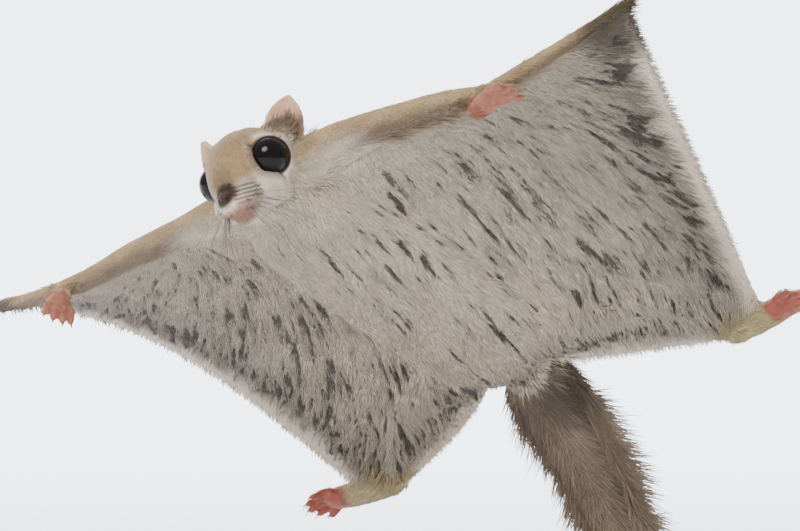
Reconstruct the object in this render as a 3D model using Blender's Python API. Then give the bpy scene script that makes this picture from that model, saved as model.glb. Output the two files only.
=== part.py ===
"""A flying squirrel in a glide, life size, as a museum model on a plain display stand.

The animal is modelled in its own frame: +X to its right, +Y forward, +Z out of its back,
with the origin midway between the shoulders. One empty turns that frame to the banking
glide and lifts it over the stand. The head has a frame of its own, centred between the eyes.
"""

import math
import random

import bmesh
import bpy
from mathutils import Matrix, Vector

MM = 0.001
GAP = 0.3 * MM

# Place of the animal over the stand
GLIDE_HEADING = math.radians(135.3)
GLIDE_PITCH = math.radians(26.0)
GLIDE_BANK = math.radians(24.6)
BASE_SIZE = (170 * MM, 154 * MM, 12 * MM)
BASE_CORNER = 34 * MM
BODY_OFFSET = Vector((-62, -66, 184)) * MM

# Trunk
TRUNK_LENGTH = 110 * MM
TRUNK_WIDTH = 50 * MM
TRUNK_DEPTH = 29 * MM

# Head, from its own frame between the eyes
HEAD_PLACE = Vector((-0.6, 31.9, -0.9)) * MM
HEAD_YAW = math.radians(3.2)
HEAD_PITCH = math.radians(-45.1)
HEAD_BANK = math.radians(3.8)
HEAD_WIDTH = 29 * MM
EYE_RADIUS = 6.0 * MM
EYE_PLACE = Vector((10.6, -2.4, 0.4)) * MM
EYE_AIM = Vector((0.66, 0.73, 0.12)).normalized()
EAR_HEIGHT = 11 * MM
EAR_WIDTH = 12 * MM
EAR_WALL = 1.0 * MM

# Tail
TAIL_LENGTH = 113 * MM
TAIL_DROP = (math.radians(31), math.radians(76))
TAIL_SWING = -0.8 * MM
TAIL_ROWS = 11
LOCK_LENGTH = 21 * MM
LOCK_WIDTH = 6.2 * MM
LOCK_THICKNESS = 2.2 * MM

# Limbs and gliding membrane: outward, forward and up from the shoulders, by side
SIDES = {"left": -1, "right": 1}
FRONT_FOLD = {"left": (34, 18.8, 6.2), "right": (34, 16.0, 3.6)}
ELBOW = {"left": (50, 18.0, 4.6), "right": (55, 16.2, 4.4)}
WRIST = {"left": (80, 13.0, 1.5), "right": (86.3, 14.9, 5.4)}
SPUR_TIP = {"left": (122.5, -1.5, 22), "right": (124.5, 8.6, 19.2)}
FOREARM = {"left": (68, 15.8, 3.1), "right": (73.4, 14.9, 4.6)}
KNEE = {"left": (42, -104, 2), "right": (42, -101, 0)}
ANKLE = {"left": (67, -130, -2), "right": (67, -123, -6)}
FOOT_AIM = {"left": (1.0, 0.12, -0.06), "right": (1.0, 0.14, 0.04)}
HAND_ROOT = {"left": (78.6, 14.1, -3.3), "right": (86.3, 17.3, 2.3)}
HAND_AIM = {"left": (0.93, 0.10, 0.02), "right": (-0.30, 0.27, -0.92)}
EDGE_BOW = {"left": (-1, 0, 2), "right": (-8, 0, 11.5)}
MEMBRANE_BILLOW = 9 * MM
MEMBRANE_ROOT = 9 * MM
MEMBRANE_EDGE = 2.6 * MM

# Stand rod: its route up behind the tail to the rump, in millimetres
ROD_RADIUS = 2.5 * MM
ROD_ROUTE = [(38, 30, 16), (38, 30, 45), (35.5, 30.3, 80), (28.7, 30.8, 98), (18.7, 30.3, 118),
             (13.4, 28.2, 128), (7.5, 22.6, 137.6), (-4.2, -0.9, 147.8)]


# Shared ways of making a solid


def material(name, colour, roughness, metallic=0.0):
    """One Principled BSDF finish."""
    made = bpy.data.materials.new(name)
    made.use_nodes = True
    shader = made.node_tree.nodes["Principled BSDF"]
    shader.inputs["Base Color"].default_value = (*colour, 1.0)
    shader.inputs["Roughness"].default_value = roughness
    shader.inputs["Metallic"].default_value = metallic
    return made


def point(side, place):
    """A point given outward, forward and up in millimetres, on one side of the body."""
    out, forward, up = place
    return Vector((SIDES[side] * out, forward, up)) * MM


def smooth_run(stations, steps):
    """Values read from a smooth curve through all the stations, steps to each span."""
    padded = [stations[0], *stations, stations[-1]]
    run = []
    for i in range(len(stations) - 1):
        a, b, c, d = padded[i:i + 4]
        for k in range(steps):
            t = k / steps
            run.append([
                0.5 * (2 * q + (r - p) * t + (2 * p - 5 * q + 4 * r - s) * t * t
                       + (3 * q - p - 3 * r + s) * t ** 3)
                for p, q, r, s in zip(a, b, c, d)
            ])
    run.append(list(stations[-1]))
    return run


def finish(name, bm, finish_material=None, parent=None, place=None):
    """A named object from a bmesh, with its faces pointing out."""
    bmesh.ops.recalc_face_normals(bm, faces=bm.faces)
    if place is not None:
        bmesh.ops.transform(bm, matrix=place, verts=bm.verts)
    mesh = bpy.data.meshes.new(name)
    bm.to_mesh(mesh)
    bm.free()
    made = bpy.data.objects.new(name, mesh)
    bpy.context.scene.collection.objects.link(made)
    made.parent = parent
    if finish_material is not None:
        mesh.materials.append(finish_material)
    return made


def ring_loft(bm, rings, poles):
    """Close a stack of rings into one body, with a point at each end."""
    loops = [[bm.verts.new(p) for p in ring] for ring in rings]
    count = len(loops[0])
    for low, high in zip(loops, loops[1:]):
        for k in range(count):
            n = (k + 1) % count
            bm.faces.new((low[k], low[n], high[n]))
            bm.faces.new((low[k], high[n], high[k]))
    for loop, pole in zip((loops[0], loops[-1]), poles):
        tip = bm.verts.new(pole)
        for k in range(count):
            bm.faces.new((loop[k], loop[(k + 1) % count], tip))


def tube(name, stations, sides, up=(0, 0, 1), power=2.0, grow=0.0, leans=(65, 35), **kept):
    """A round-ended body along a run of stations: x, y, z, half width, half height.

    The rings that round each end off lean over by the angles in leans.
    """
    centres = [Vector(s[:3]) for s in stations]
    rings = []
    frames = []
    for i, centre in enumerate(centres):
        along = (centres[min(i + 1, len(centres) - 1)] - centres[max(i - 1, 0)]).normalized()
        across = along.cross(Vector(up)).normalized()
        frames.append((along, across, across.cross(along)))

    def ring(centre, frame, wide, high):
        _, across, rise = frame
        points = []
        for k in range(sides):
            turn = math.tau * k / sides
            c, s = math.cos(turn), math.sin(turn)
            points.append(centre
                          + across * wide * math.copysign(abs(c) ** (2 / power), c)
                          + rise * high * math.copysign(abs(s) ** (2 / power), s))
        return points

    def cap(index, sense):
        wide, high = (h + grow for h in stations[index][3:5])
        depth = min(wide, high)
        made = []
        for lean in map(math.radians, leans):
            centre = centres[index] + frames[index][0] * sense * depth * math.sin(lean)
            made.append(ring(centre, frames[index], wide * math.cos(lean), high * math.cos(lean)))
        return made, centres[index] + frames[index][0] * sense * depth

    start, start_pole = cap(0, -1)
    end, end_pole = cap(-1, 1)
    rings += start
    for centre, frame, station in zip(centres, frames, stations):
        rings.append(ring(centre, frame, station[3] + grow, station[4] + grow))
    rings += reversed(end)
    bm = bmesh.new()
    ring_loft(bm, rings, (start_pole, end_pole))
    return finish(name, bm, **kept)


def ellipsoid(name, centre, radii, turn=None, segments=16, grow=0.0, **kept):
    """A stretched ball, turned about its own centre."""
    bm = bmesh.new()
    bmesh.ops.create_uvsphere(bm, u_segments=segments, v_segments=segments * 2 // 3, radius=1.0)
    scale = Matrix.Diagonal(Vector([r + grow for r in radii])).to_4x4()
    spin = turn.to_4x4() if turn is not None else Matrix.Identity(4)
    bmesh.ops.transform(bm, matrix=Matrix.Translation(centre) @ spin @ scale, verts=bm.verts)
    bmesh.ops.triangulate(bm, faces=bm.faces)
    return finish(name, bm, **kept)


def slab(name, top, under, **kept):
    """A thin curved body between two like grids, split into triangles alike on both faces."""
    bm = bmesh.new()
    upper = [[bm.verts.new(p) for p in row] for row in top]
    lower = [[bm.verts.new(p) for p in row] for row in under]
    rows, columns = len(top), len(top[0])
    for i in range(rows - 1):
        for j in range(columns - 1):
            for grid in (upper, lower):
                a, b = grid[i][j], grid[i + 1][j]
                c, d = grid[i + 1][j + 1], grid[i][j + 1]
                bm.faces.new((a, b, c))
                bm.faces.new((a, c, d))
    rim = [(i, 0) for i in range(rows)] + [(rows - 1, j) for j in range(1, columns)]
    rim += [(i, columns - 1) for i in range(rows - 2, -1, -1)]
    rim += [(0, j) for j in range(columns - 2, 0, -1)]
    for (i, j), (k, n) in zip(rim, rim[1:] + rim[:1]):
        bm.faces.new((upper[i][j], upper[k][n], lower[k][n]))
        bm.faces.new((upper[i][j], lower[k][n], lower[i][j]))
    return finish(name, bm, **kept)


def keep_largest(mesh):
    """Leave only the surface with the most faces."""
    bm = bmesh.new()
    bm.from_mesh(mesh)
    left = set(bm.faces)
    bodies = []
    while left:
        front = [left.pop()]
        body = set(front)
        while front:
            for edge in front.pop().edges:
                for face in edge.link_faces:
                    if face in left:
                        left.discard(face)
                        body.add(face)
                        front.append(face)
        bodies.append(body)
    bodies.sort(key=len)
    loose = [face for body in bodies[:-1] for face in body]
    bmesh.ops.delete(bm, geom=loose, context="FACES")
    bmesh.ops.delete(bm, geom=[v for v in bm.verts if not v.link_faces], context="VERTS")
    bm.to_mesh(mesh)
    bm.free()


def apply_boolean(target, others, operation, solver):
    """Cut or join the target with other objects, which are then removed."""
    group = bpy.data.collections.new("booleans")
    bpy.context.scene.collection.children.link(group)
    for other in others:
        group.objects.link(other)
        bpy.context.scene.collection.objects.unlink(other)
    modifier = target.modifiers.new("boolean", "BOOLEAN")
    modifier.operation = operation
    modifier.solver = solver
    modifier.operand_type = "COLLECTION"
    modifier.collection = group
    bpy.context.view_layer.update()
    evaluated = target.evaluated_get(bpy.context.evaluated_depsgraph_get())
    made = bpy.data.meshes.new_from_object(evaluated)
    target.modifiers.clear()
    target.data = made
    keep_largest(made)
    for other in others:
        bpy.data.objects.remove(other)
    bpy.data.collections.remove(group)


def cut(target, cutters, solver="MANIFOLD"):
    """Cut the target clear of each neighbour in turn."""
    for cutter in cutters:
        apply_boolean(target, [cutter], "DIFFERENCE", solver)


def fuse(target, pieces, solver="MANIFOLD"):
    """Join the pieces into the target as one closed body."""
    apply_boolean(target, pieces, "UNION", solver)


def shade(made):
    """Smooth shading, with the real creases left sharp."""
    made.data.shade_smooth()
    made.data.set_sharp_from_angle(angle=math.radians(40))


# The trunk: a flattened barrel from the chest to the rump


def trunk(name="torso_cutter", grow=0.0, **kept):
    wide, deep = TRUNK_WIDTH / 2, TRUNK_DEPTH / 2
    stations = [
        (0, 12 * MM, 0.5 * MM, 0.50 * wide, 0.70 * deep),
        (0, 4 * MM, 1 * MM, 0.80 * wide, 0.92 * deep),
        (0, -0.18 * TRUNK_LENGTH, 2 * MM, 0.96 * wide, 1.00 * deep),
        (0, -0.45 * TRUNK_LENGTH, 2.5 * MM, 0.98 * wide, 1.00 * deep),
        (0, -0.72 * TRUNK_LENGTH, 2.5 * MM, 1.00 * wide, 1.02 * deep),
        (0, -0.88 * TRUNK_LENGTH, 2 * MM, 0.76 * wide, 0.88 * deep),
        (0, -0.96 * TRUNK_LENGTH, 2 * MM, 0.42 * wide, 0.60 * deep),
    ]
    return tube(name, smooth_run(stations, 2), 20, power=2.2, grow=grow, **kept)


def neck(name="neck_cutter", grow=0.0, **kept):
    stations = [
        (0, 2 * MM, 2 * MM, 15 * MM, 12 * MM),
        (-0.3 * MM, 12 * MM, 4 * MM, 14.5 * MM, 12.5 * MM),
        (-0.8 * MM, 22 * MM, 6 * MM, 13.5 * MM, 12 * MM),
    ]
    return tube(name, smooth_run(stations, 2), 12, grow=grow, **kept)


# The head: a blunt wedge with full cheeks, very large eyes and a short muzzle


HEAD_STATIONS = [
    (-18, -2.5, 0.60, 7.5),
    (-13, -1.0, 0.86, 11.0),
    (-6, 0.0, 1.00, 12.8),
    (-1, -0.6, 0.88, 12.2),
    (3.5, -2.2, 0.68, 10.6),
    (7.5, -4.4, 0.56, 8.2),
    (10.5, -5.6, 0.43, 6.2),
    (13, -6.0, 0.28, 4.0),
]


def skull(name="head_cutter", grow=0.0, **kept):
    half = HEAD_WIDTH / 2
    stations = [(0, y * MM, z * MM, w * half, h * MM) for y, z, w, h in HEAD_STATIONS]
    return tube(name, smooth_run(stations, 2), 16, grow=grow, **kept)


def eye_place(side):
    return Vector((SIDES[side] * EYE_PLACE.x, EYE_PLACE.y, EYE_PLACE.z))


def eye_aim(side):
    return Vector((SIDES[side] * EYE_AIM.x, EYE_AIM.y, EYE_AIM.z))


def eyeball(side, name="eye_cutter", grow=0.0, **kept):
    radii = (EYE_RADIUS,) * 3
    return ellipsoid(name, eye_place(side), radii, segments=14, grow=grow, **kept)


def head_pieces(parent, grow):
    """Cheeks, whisker pads, ear mounds, chin, nose pad and the lids round each eye."""
    pieces = []

    def ball(name, centre, radii):
        pieces.append(ellipsoid(name, Vector(centre) * MM, Vector(radii) * MM,
                                segments=10, grow=grow, parent=parent))

    for side, sign in SIDES.items():
        ball("cheek", (sign * 6.8, -0.6, -7.4), (6.9, 8.7, 6.3))
        ball("pad", (sign * 3.3, 9.0, -7.4), (4.2, 5.6, 4.0))
        ball("ear_mound", (sign * 12.4, -12.6, 2.8), (4.3, 5.4, 5.0))
        turn = eye_aim(side).to_track_quat("Z", "Y").to_matrix()
        rim = Vector((EYE_RADIUS + 1.0 * MM, EYE_RADIUS + 0.9 * MM, 2.6 * MM))
        pieces.append(ellipsoid("lid", eye_place(side) + eye_aim(side) * 0.3 * MM, rim,
                                turn=turn, segments=12, grow=grow, parent=parent))
    ball("chin", (0, 6.4, -12.2), (4.8, 6.2, 3.2))
    ball("nose", (0.3, 14.0, -4.0), (2.7, 1.9, 2.1))
    return pieces


def whole_head(parent, name="head_cutter", grow=0.0, **kept):
    """The skull with every rounded piece of the face joined on."""
    head = skull(name, grow=grow, parent=parent, **kept)
    fuse(head, head_pieces(parent, grow))
    return head


def mouth_line(parent):
    """The groove between the lips, from one corner round the front to the other."""
    stations = []
    for k in range(-3, 4):
        swing = math.radians(28 * k)
        stations.append((
            6.2 * MM * math.sin(swing), (5.4 + 7.5 * math.cos(swing)) * MM,
            (-9.9 - 1.5 * (1 - math.cos(swing))) * MM, 1.0 * MM, 0.55 * MM))
    return tube("mouth", stations, 6, leans=(45,), parent=parent)


def nostril(sign, parent):
    return ellipsoid(
        "nostril", Vector((sign * 1.5, 15.6, -4.5)) * MM, Vector((0.6, 1.2, 0.7)) * MM,
        turn=Matrix.Rotation(math.radians(-25 * sign), 3, "Z"), segments=8, parent=parent)


def ear(side, name, **kept):
    """A rounded triangular cup, open to the front and a little outward."""
    sign = SIDES[side]
    root = Vector((sign * 14.2, -12.0, 6.0)) * MM
    rise = Vector((sign * 0.39, -0.50, 0.77)).normalized()
    face = Vector((sign * 0.50, 0.85, 0.10))
    face = (face - rise * face.dot(rise)).normalized()
    across = rise.cross(face).normalized()
    rows, columns = 7, 7
    front, back = [], []
    for i in range(rows):
        v = 1.4 * i / (rows - 1) - 0.4
        half = EAR_WIDTH / 2 * (1.0 - 0.92 * max(v, 0) ** 2.0) ** 0.75 * (1 - 1.6 * min(v, 0) ** 2)
        hollow = 3.0 * MM * min(1 - v, 1) ** 0.6 + 0.4 * MM
        front_row, back_row = [], []
        for j in range(columns):
            u = 2 * j / (columns - 1) - 1
            centre = root + rise * EAR_HEIGHT * v * (1 - 0.05 * u * u) + across * half * u
            centre -= face * hollow * (1 - u * u)
            centre -= face * 1.6 * MM * v * v
            normal = (face - across * u * hollow / half).normalized()
            front_row.append(centre + normal * EAR_WALL / 2)
            back_row.append(centre - normal * EAR_WALL / 2)
        front.append(front_row)
        back.append(back_row)
    return slab(name, front, back, **kept)


# Limbs


def arm(side, name="arm_cutter", grow=0.0, **kept):
    """The arm with the furred fold of skin that runs along its front to the neck."""
    out, forward, up = WRIST[side]
    _, fold, rise = FRONT_FOLD[side]
    stations = [
        (11, fold - 4.5, rise - 0.8, 8.0, 7.6),
        (22, fold - 0.8, rise + 0.4, 6.6, 6.4),
        (*FRONT_FOLD[side], 5.3, 5.1),
        (*ELBOW[side], 4.7, 4.4),
        (*FOREARM[side], 4.0, 3.8),
        (out - 2, forward - 0.4, up + 0.4, 3.7, 3.5),
    ]
    placed = [(SIDES[side] * x, *rest) for x, *rest in stations]
    metres = [[value * MM for value in station] for station in placed]
    return tube(name, smooth_run(metres, 2), 12, grow=grow, **kept)


def spur(side, name="spur_cutter", grow=0.0, **kept):
    """The rod of gristle at the wrist that spreads the membrane, in its fur."""
    start, end = point(side, WRIST[side]), point(side, SPUR_TIP[side])
    bend = start.lerp(end, 0.5) + Vector((0, 1.5, -2.0)) * MM
    start = start.lerp(bend, 0.10)
    stations = [
        (*start, 3.3 * MM, 3.0 * MM),
        (*bend, 3.0 * MM, 2.6 * MM),
        (*end, 2.5 * MM, 2.0 * MM),
    ]
    return tube(name, smooth_run(stations, 2), 8, leans=(45,), grow=grow, **kept)


def leg(side, name="leg_cutter", grow=0.0, **kept):
    """Thigh and shin, spread wide with the knee a little bent."""
    knee, ankle = KNEE[side], ANKLE[side]
    shin = [k + (a - k) * 0.55 for k, a in zip(knee, ankle)]
    stations = [
        (14, -93, 0, 12, 8.0),
        (28, -98, 1, 10, 7.2),
        (*knee, 7.6, 6.0),
        (*shin, 5.4, 4.6),
        (ankle[0] - 2, ankle[1] + 2, ankle[2], 4.2, 3.8),
    ]
    placed = [(SIDES[side] * x, *rest) for x, *rest in stations]
    metres = [[value * MM for value in station] for station in placed]
    return tube(name, smooth_run(metres, 2), 12, grow=grow, **kept)


def paw_frame(side, place, aim, sole_turn):
    """A frame at the wrist or ankle: +Y along the toes, +Z out of the back of the paw."""
    forward = point(side, aim).normalized()
    back = Matrix.Rotation(SIDES[side] * sole_turn, 3, "Y") @ Vector((0, 0, 1))
    if abs(forward.dot(back)) > 0.8:
        back = Vector((0, 1, 0))
    across = forward.cross(back).normalized()
    back = across.cross(forward)
    frame = Matrix((across, forward, back)).transposed().to_4x4()
    return Matrix.Translation(point(side, place)) @ frame


def digit(name, root, splay, length, radius, frame, grow, parent):
    """One finger or toe with its curved claw."""
    aim = Vector((math.sin(splay), math.cos(splay), 0))
    stations = []
    for share, lift, thick in ((0.0, 0.2, 1.0), (0.5, 0.5, 0.9), (1.0, -1.1, 0.82)):
        spot = root + aim * length * share + Vector((0, 0, lift * MM))
        stations.append((*spot, radius * thick, radius * thick))
    finger = tube(name, stations, 5, leans=(45,), grow=grow, place=frame, parent=parent)
    claw_root = root + aim * length * 0.96 + Vector((0, 0, -0.7 * MM))
    claw_stations = []
    for share, lift, thick in ((0, 0, 0.62), (0.55, -0.2, 0.42), (1.0, -1.0, 0.16)):
        spot = claw_root + aim * 3.0 * MM * share + Vector((0, 0, lift * MM))
        claw_stations.append((*spot, thick * MM, thick * MM))
    claw = tube(name, claw_stations, 4, leans=(), grow=grow, place=frame, parent=parent)
    return [finger, claw]


def hand_pieces(side, grow=0.0, parent=None):
    """Palm and four fingers, held on the under side of the front edge."""
    frame = paw_frame(side, HAND_ROOT[side], HAND_AIM[side], math.radians(-20))
    stations = [
        (0, -1.5 * MM, 0, 3.0 * MM, 2.6 * MM),
        (0, 2.8 * MM, 0, 3.8 * MM, 2.5 * MM),
        (0, 6.2 * MM, 0, 4.2 * MM, 2.0 * MM),
    ]
    pieces = [tube("palm", stations, 8, leans=(50,), grow=grow, place=frame, parent=parent)]
    for k, length in enumerate((5.2, 6.6, 6.8, 5.8)):
        root = Vector(((k - 1.5) * 2.2, 6.2, -0.1)) * MM
        splay = math.radians(8 * (k - 1.5))
        pieces += digit("finger", root, splay, length * MM, 1.3 * MM, frame, grow, parent)
    return pieces


def foot_pieces(side, grow=0.0, parent=None):
    """Sole and five toes, stretched outward in line with the hem of the membrane."""
    frame = paw_frame(side, ANKLE[side], FOOT_AIM[side], math.radians(-12))
    stations = [
        (0, -1.0 * MM, -0.3 * MM, 4.4 * MM, 4.4 * MM),
        (0, 7 * MM, -0.6 * MM, 4.8 * MM, 4.3 * MM),
        (0, 15 * MM, -0.8 * MM, 4.8 * MM, 3.6 * MM),
        (0, 22 * MM, -0.6 * MM, 5.0 * MM, 2.7 * MM),
    ]
    pieces = [tube("sole", stations, 8, leans=(50,), grow=grow, place=frame, parent=parent)]
    for k, length in enumerate((6.2, 8.4, 9.0, 8.6, 6.8)):
        root = Vector(((k - 2) * 2.15, 22.0 - 0.9 * abs(k - 2), -0.6)) * MM
        splay = math.radians(9 * (k - 2))
        pieces += digit("toe", root, splay, length * MM, 1.5 * MM, frame, grow, parent)
    return pieces


# The gliding membrane on each side


def along_line(points, share):
    """The point a share of the way along a bent line."""
    spans = [(b - a).length for a, b in zip(points, points[1:])]
    left = share * sum(spans)
    for a, b, span in zip(points, points[1:], spans):
        if left <= span:
            return a.lerp(b, left / span)
        left -= span
    return points[-1].copy()


def foot_point(side, reach):
    """A point on the foot, a distance from the ankle."""
    return point(side, ANKLE[side]) + point(side, FOOT_AIM[side]).normalized() * reach


def membrane_middle(side, u, v):
    """The middle surface: u from the arm to the leg, v from the flank to the free edge."""
    front = [point(side, p) for p in ((10, 12, 3), (34, 16, 4), WRIST[side], SPUR_TIP[side])]
    rear = [point(side, p) for p in ((8, -94, 0), KNEE[side], ANKLE[side])]
    rear.append(foot_point(side, 12 * MM))
    flank = [front[0], rear[0]]
    bow = point(side, EDGE_BOW[side]) * math.sin(math.pi * u ** 0.75)
    edge = front[-1].lerp(rear[-1], u) + bow
    f, r = along_line(front, v), along_line(rear, v)
    ruled = f.lerp(r, u) + along_line(flank, u).lerp(edge, v)
    corners = front[0].lerp(rear[0], u).lerp(front[-1].lerp(rear[-1], u), v)
    lift = MEMBRANE_BILLOW * math.sin(math.pi * u) ** 0.8 * math.sin(math.pi * v) ** 0.8
    return ruled - corners + Vector((0, 0, lift))


def membrane_grid(side, middle, rows, columns, name, **kept):
    """A slab round a middle surface, thick at the flank and thin at the free edge."""
    step = 0.01
    top, under = [], []
    for i in range(rows + 1):
        top_row, under_row = [], []
        for j in range(columns + 1):
            u, v = i / rows, j / columns
            low_u, high_u = max(u - step, 0), min(u + step, 1)
            low_v, high_v = max(v - step, 0), min(v + step, 1)
            along = middle(side, high_u, v) - middle(side, low_u, v)
            across = middle(side, u, high_v) - middle(side, u, low_v)
            normal = along.cross(across).normalized()
            if normal.z < 0:
                normal.negate()
            thick = MEMBRANE_EDGE + (MEMBRANE_ROOT - MEMBRANE_EDGE) * (1 - v) ** 1.3
            spot = middle(side, u, v)
            top_row.append(spot + normal * thick * 0.5)
            under_row.append(spot - normal * thick * 0.5)
        top.append(top_row)
        under.append(under_row)
    return slab(name, top, under, **kept)


def web_middle(side, u, v):
    """The small web between leg and tail: u from the leg to its hem, v outward."""
    bone = [point(side, p) for p in ((5, -100, 0), KNEE[side], ANKLE[side])]
    ankle = ANKLE[side]
    hem = [point(side, (11, -105, -1)), point(side, (36, -119, -2)),
           point(side, (ankle[0] - 1, ankle[1] - 5, ankle[2]))]
    return along_line(bone, v).lerp(along_line(hem, v), u)


# The tail: a flattened brush


def tail_point(share):
    """Centre and direction of the tail, a share of its length from the root."""
    spot = Vector((0, -TRUNK_LENGTH, 2 * MM))
    steps = max(1, round(40 * share))
    drop = TAIL_DROP[0]
    for k in range(steps):
        drop = TAIL_DROP[0] + (TAIL_DROP[1] - TAIL_DROP[0]) * share * (k + 0.5) / steps
        spot = spot + Vector((0, -math.cos(drop), -math.sin(drop))) * TAIL_LENGTH * share / steps
    drop = TAIL_DROP[0] + (TAIL_DROP[1] - TAIL_DROP[0]) * share
    spot.x = TAIL_SWING * math.sin(math.pi * share)
    return spot, Vector((0, -math.cos(drop), -math.sin(drop)))


def tail_core(name="tail_cutter", grow=0.0, **kept):
    """The bone and the short fur on it; past the root it reaches half way to the lock tips."""
    widths = [(-0.02, 11.0, 7.8), (0.08, 12.0, 7.6), (0.20, 10.8, 6.4), (0.40, 9.0, 5.2),
              (0.70, 8.4, 4.6), (0.90, 6.4, 3.8), (0.99, 3.6, 2.6)]
    stations = []
    for share, wide, high in widths:
        spot, aim = tail_point(max(share, 0))
        spot = spot + aim * min(share, 0) * TAIL_LENGTH
        stations.append((*spot, wide * MM, high * MM))
    return tube(name, smooth_run(stations, 2), 12, grow=grow, **kept)


def lock(root, aim, bend, flat, length, width, parent):
    """A flat, tapered lock of hair that bends over along the tail."""
    stations = []
    for share, wide in ((0.0, 0.60), (0.38, 1.0), (0.74, 0.66), (1.0, 0.14)):
        spot = root + aim * length * share + bend * length * share * share
        high = LOCK_THICKNESS / 2 * (0.45 + 0.55 * wide)
        stations.append((*spot, width / 2 * wide, high))
    return tube("lock", stations, 4, up=flat, leans=(), parent=parent)


def tail_locks(parent):
    """Locks combed out to both sides in two layers, with broad ones lying over and under."""
    draw = random.Random(7)
    locks = []
    across = Vector((1, 0, 0))
    for row in range(TAIL_ROWS):
        share = 0.05 + 0.91 * row / (TAIL_ROWS - 1)
        spot, along = tail_point(share)
        rise = across.cross(along) * -1
        spread = min(1.0, 0.85 + 1.2 * share) * (1.0 - 0.22 * max(share - 0.7, 0) / 0.3)
        for sense in (-1, 1):
            for layer in (-1, 1):
                flare = math.radians(draw.uniform(37, 43) - 14 * max(share - 0.75, 0) / 0.25)
                aim = along * math.cos(flare) + across * sense * math.sin(flare)
                aim = (aim + rise * layer * draw.uniform(0.10, 0.18)).normalized()
                root = spot + across * sense * 5.0 * MM * spread + rise * layer * 1.9 * MM
                root = root + along * (1.5 * layer + draw.uniform(-1, 1)) * MM
                length = LOCK_LENGTH * spread * draw.uniform(0.93, 1.05)
                locks.append(lock(root, aim, along * 0.12 - across * sense * 0.10, rise,
                                  length, LOCK_WIDTH * spread, parent))
        layer = 1 if row % 2 else -1
        aim = (along + rise * layer * 0.26 + across * draw.uniform(-0.1, 0.1)).normalized()
        root = spot + rise * layer * 2.4 * MM * spread
        locks.append(lock(root, aim, rise * layer * -0.08, rise, LOCK_LENGTH * spread * 1.05,
                          LOCK_WIDTH * 1.5, parent))
    spot, along = tail_point(0.97)
    rise = across.cross(along) * -1
    for k in range(-2, 3):
        flare = math.radians(13 * k)
        aim = along * math.cos(flare) + across * math.sin(flare)
        locks.append(lock(spot - along * 4 * MM, aim, along * 0, rise, 20 * MM,
                          LOCK_WIDTH, parent))
    return locks


# The display stand


def stand_base(**kept):
    """A flat plate with round corners and a softened upper rim."""
    bm = bmesh.new()
    wide, deep, thick = BASE_SIZE
    outline = []
    for corner, (sx, sy) in enumerate(((1, 1), (-1, 1), (-1, -1), (1, -1))):
        middle = Vector((sx * (wide / 2 - BASE_CORNER), sy * (deep / 2 - BASE_CORNER), 0))
        for k in range(7):
            turn = math.pi / 2 * (corner + k / 6)
            outline.append(middle + Vector((math.cos(turn), math.sin(turn), 0)) * BASE_CORNER)
    face = bm.faces.new([bm.verts.new(p) for p in outline])
    raised = bmesh.ops.extrude_face_region(bm, geom=[face])["geom"]
    bmesh.ops.translate(
        bm, vec=(0, 0, thick), verts=[g for g in raised if isinstance(g, bmesh.types.BMVert)])
    rim = [e for e in bm.edges if all(v.co.z > thick / 2 for v in e.verts)]
    bmesh.ops.bevel(bm, geom=rim, offset=2.5 * MM, segments=2, profile=0.5, affect="EDGES")
    return finish("stand_base", bm, **kept)


def stand_rod(**kept):
    """A bent steel rod with a collar, from the plate up behind the tail to the rump."""
    stations = [[v * MM for v in spot] + [ROD_RADIUS, ROD_RADIUS] for spot in ROD_ROUTE]
    rod = tube("stand_rod", smooth_run(stations, 2), 8, up=(1, 0, 0), leans=(), **kept)
    bm = bmesh.new()
    collar_height = 7 * MM
    foot = Vector(stations[0][:3])
    foot.z = BASE_SIZE[2] + GAP + collar_height / 2
    bmesh.ops.create_cone(bm, cap_ends=True, segments=16, radius1=9 * MM, radius2=6 * MM,
                          depth=collar_height, matrix=Matrix.Translation(foot))
    fuse(rod, [finish("collar", bm)])
    return rod


# Building


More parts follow.
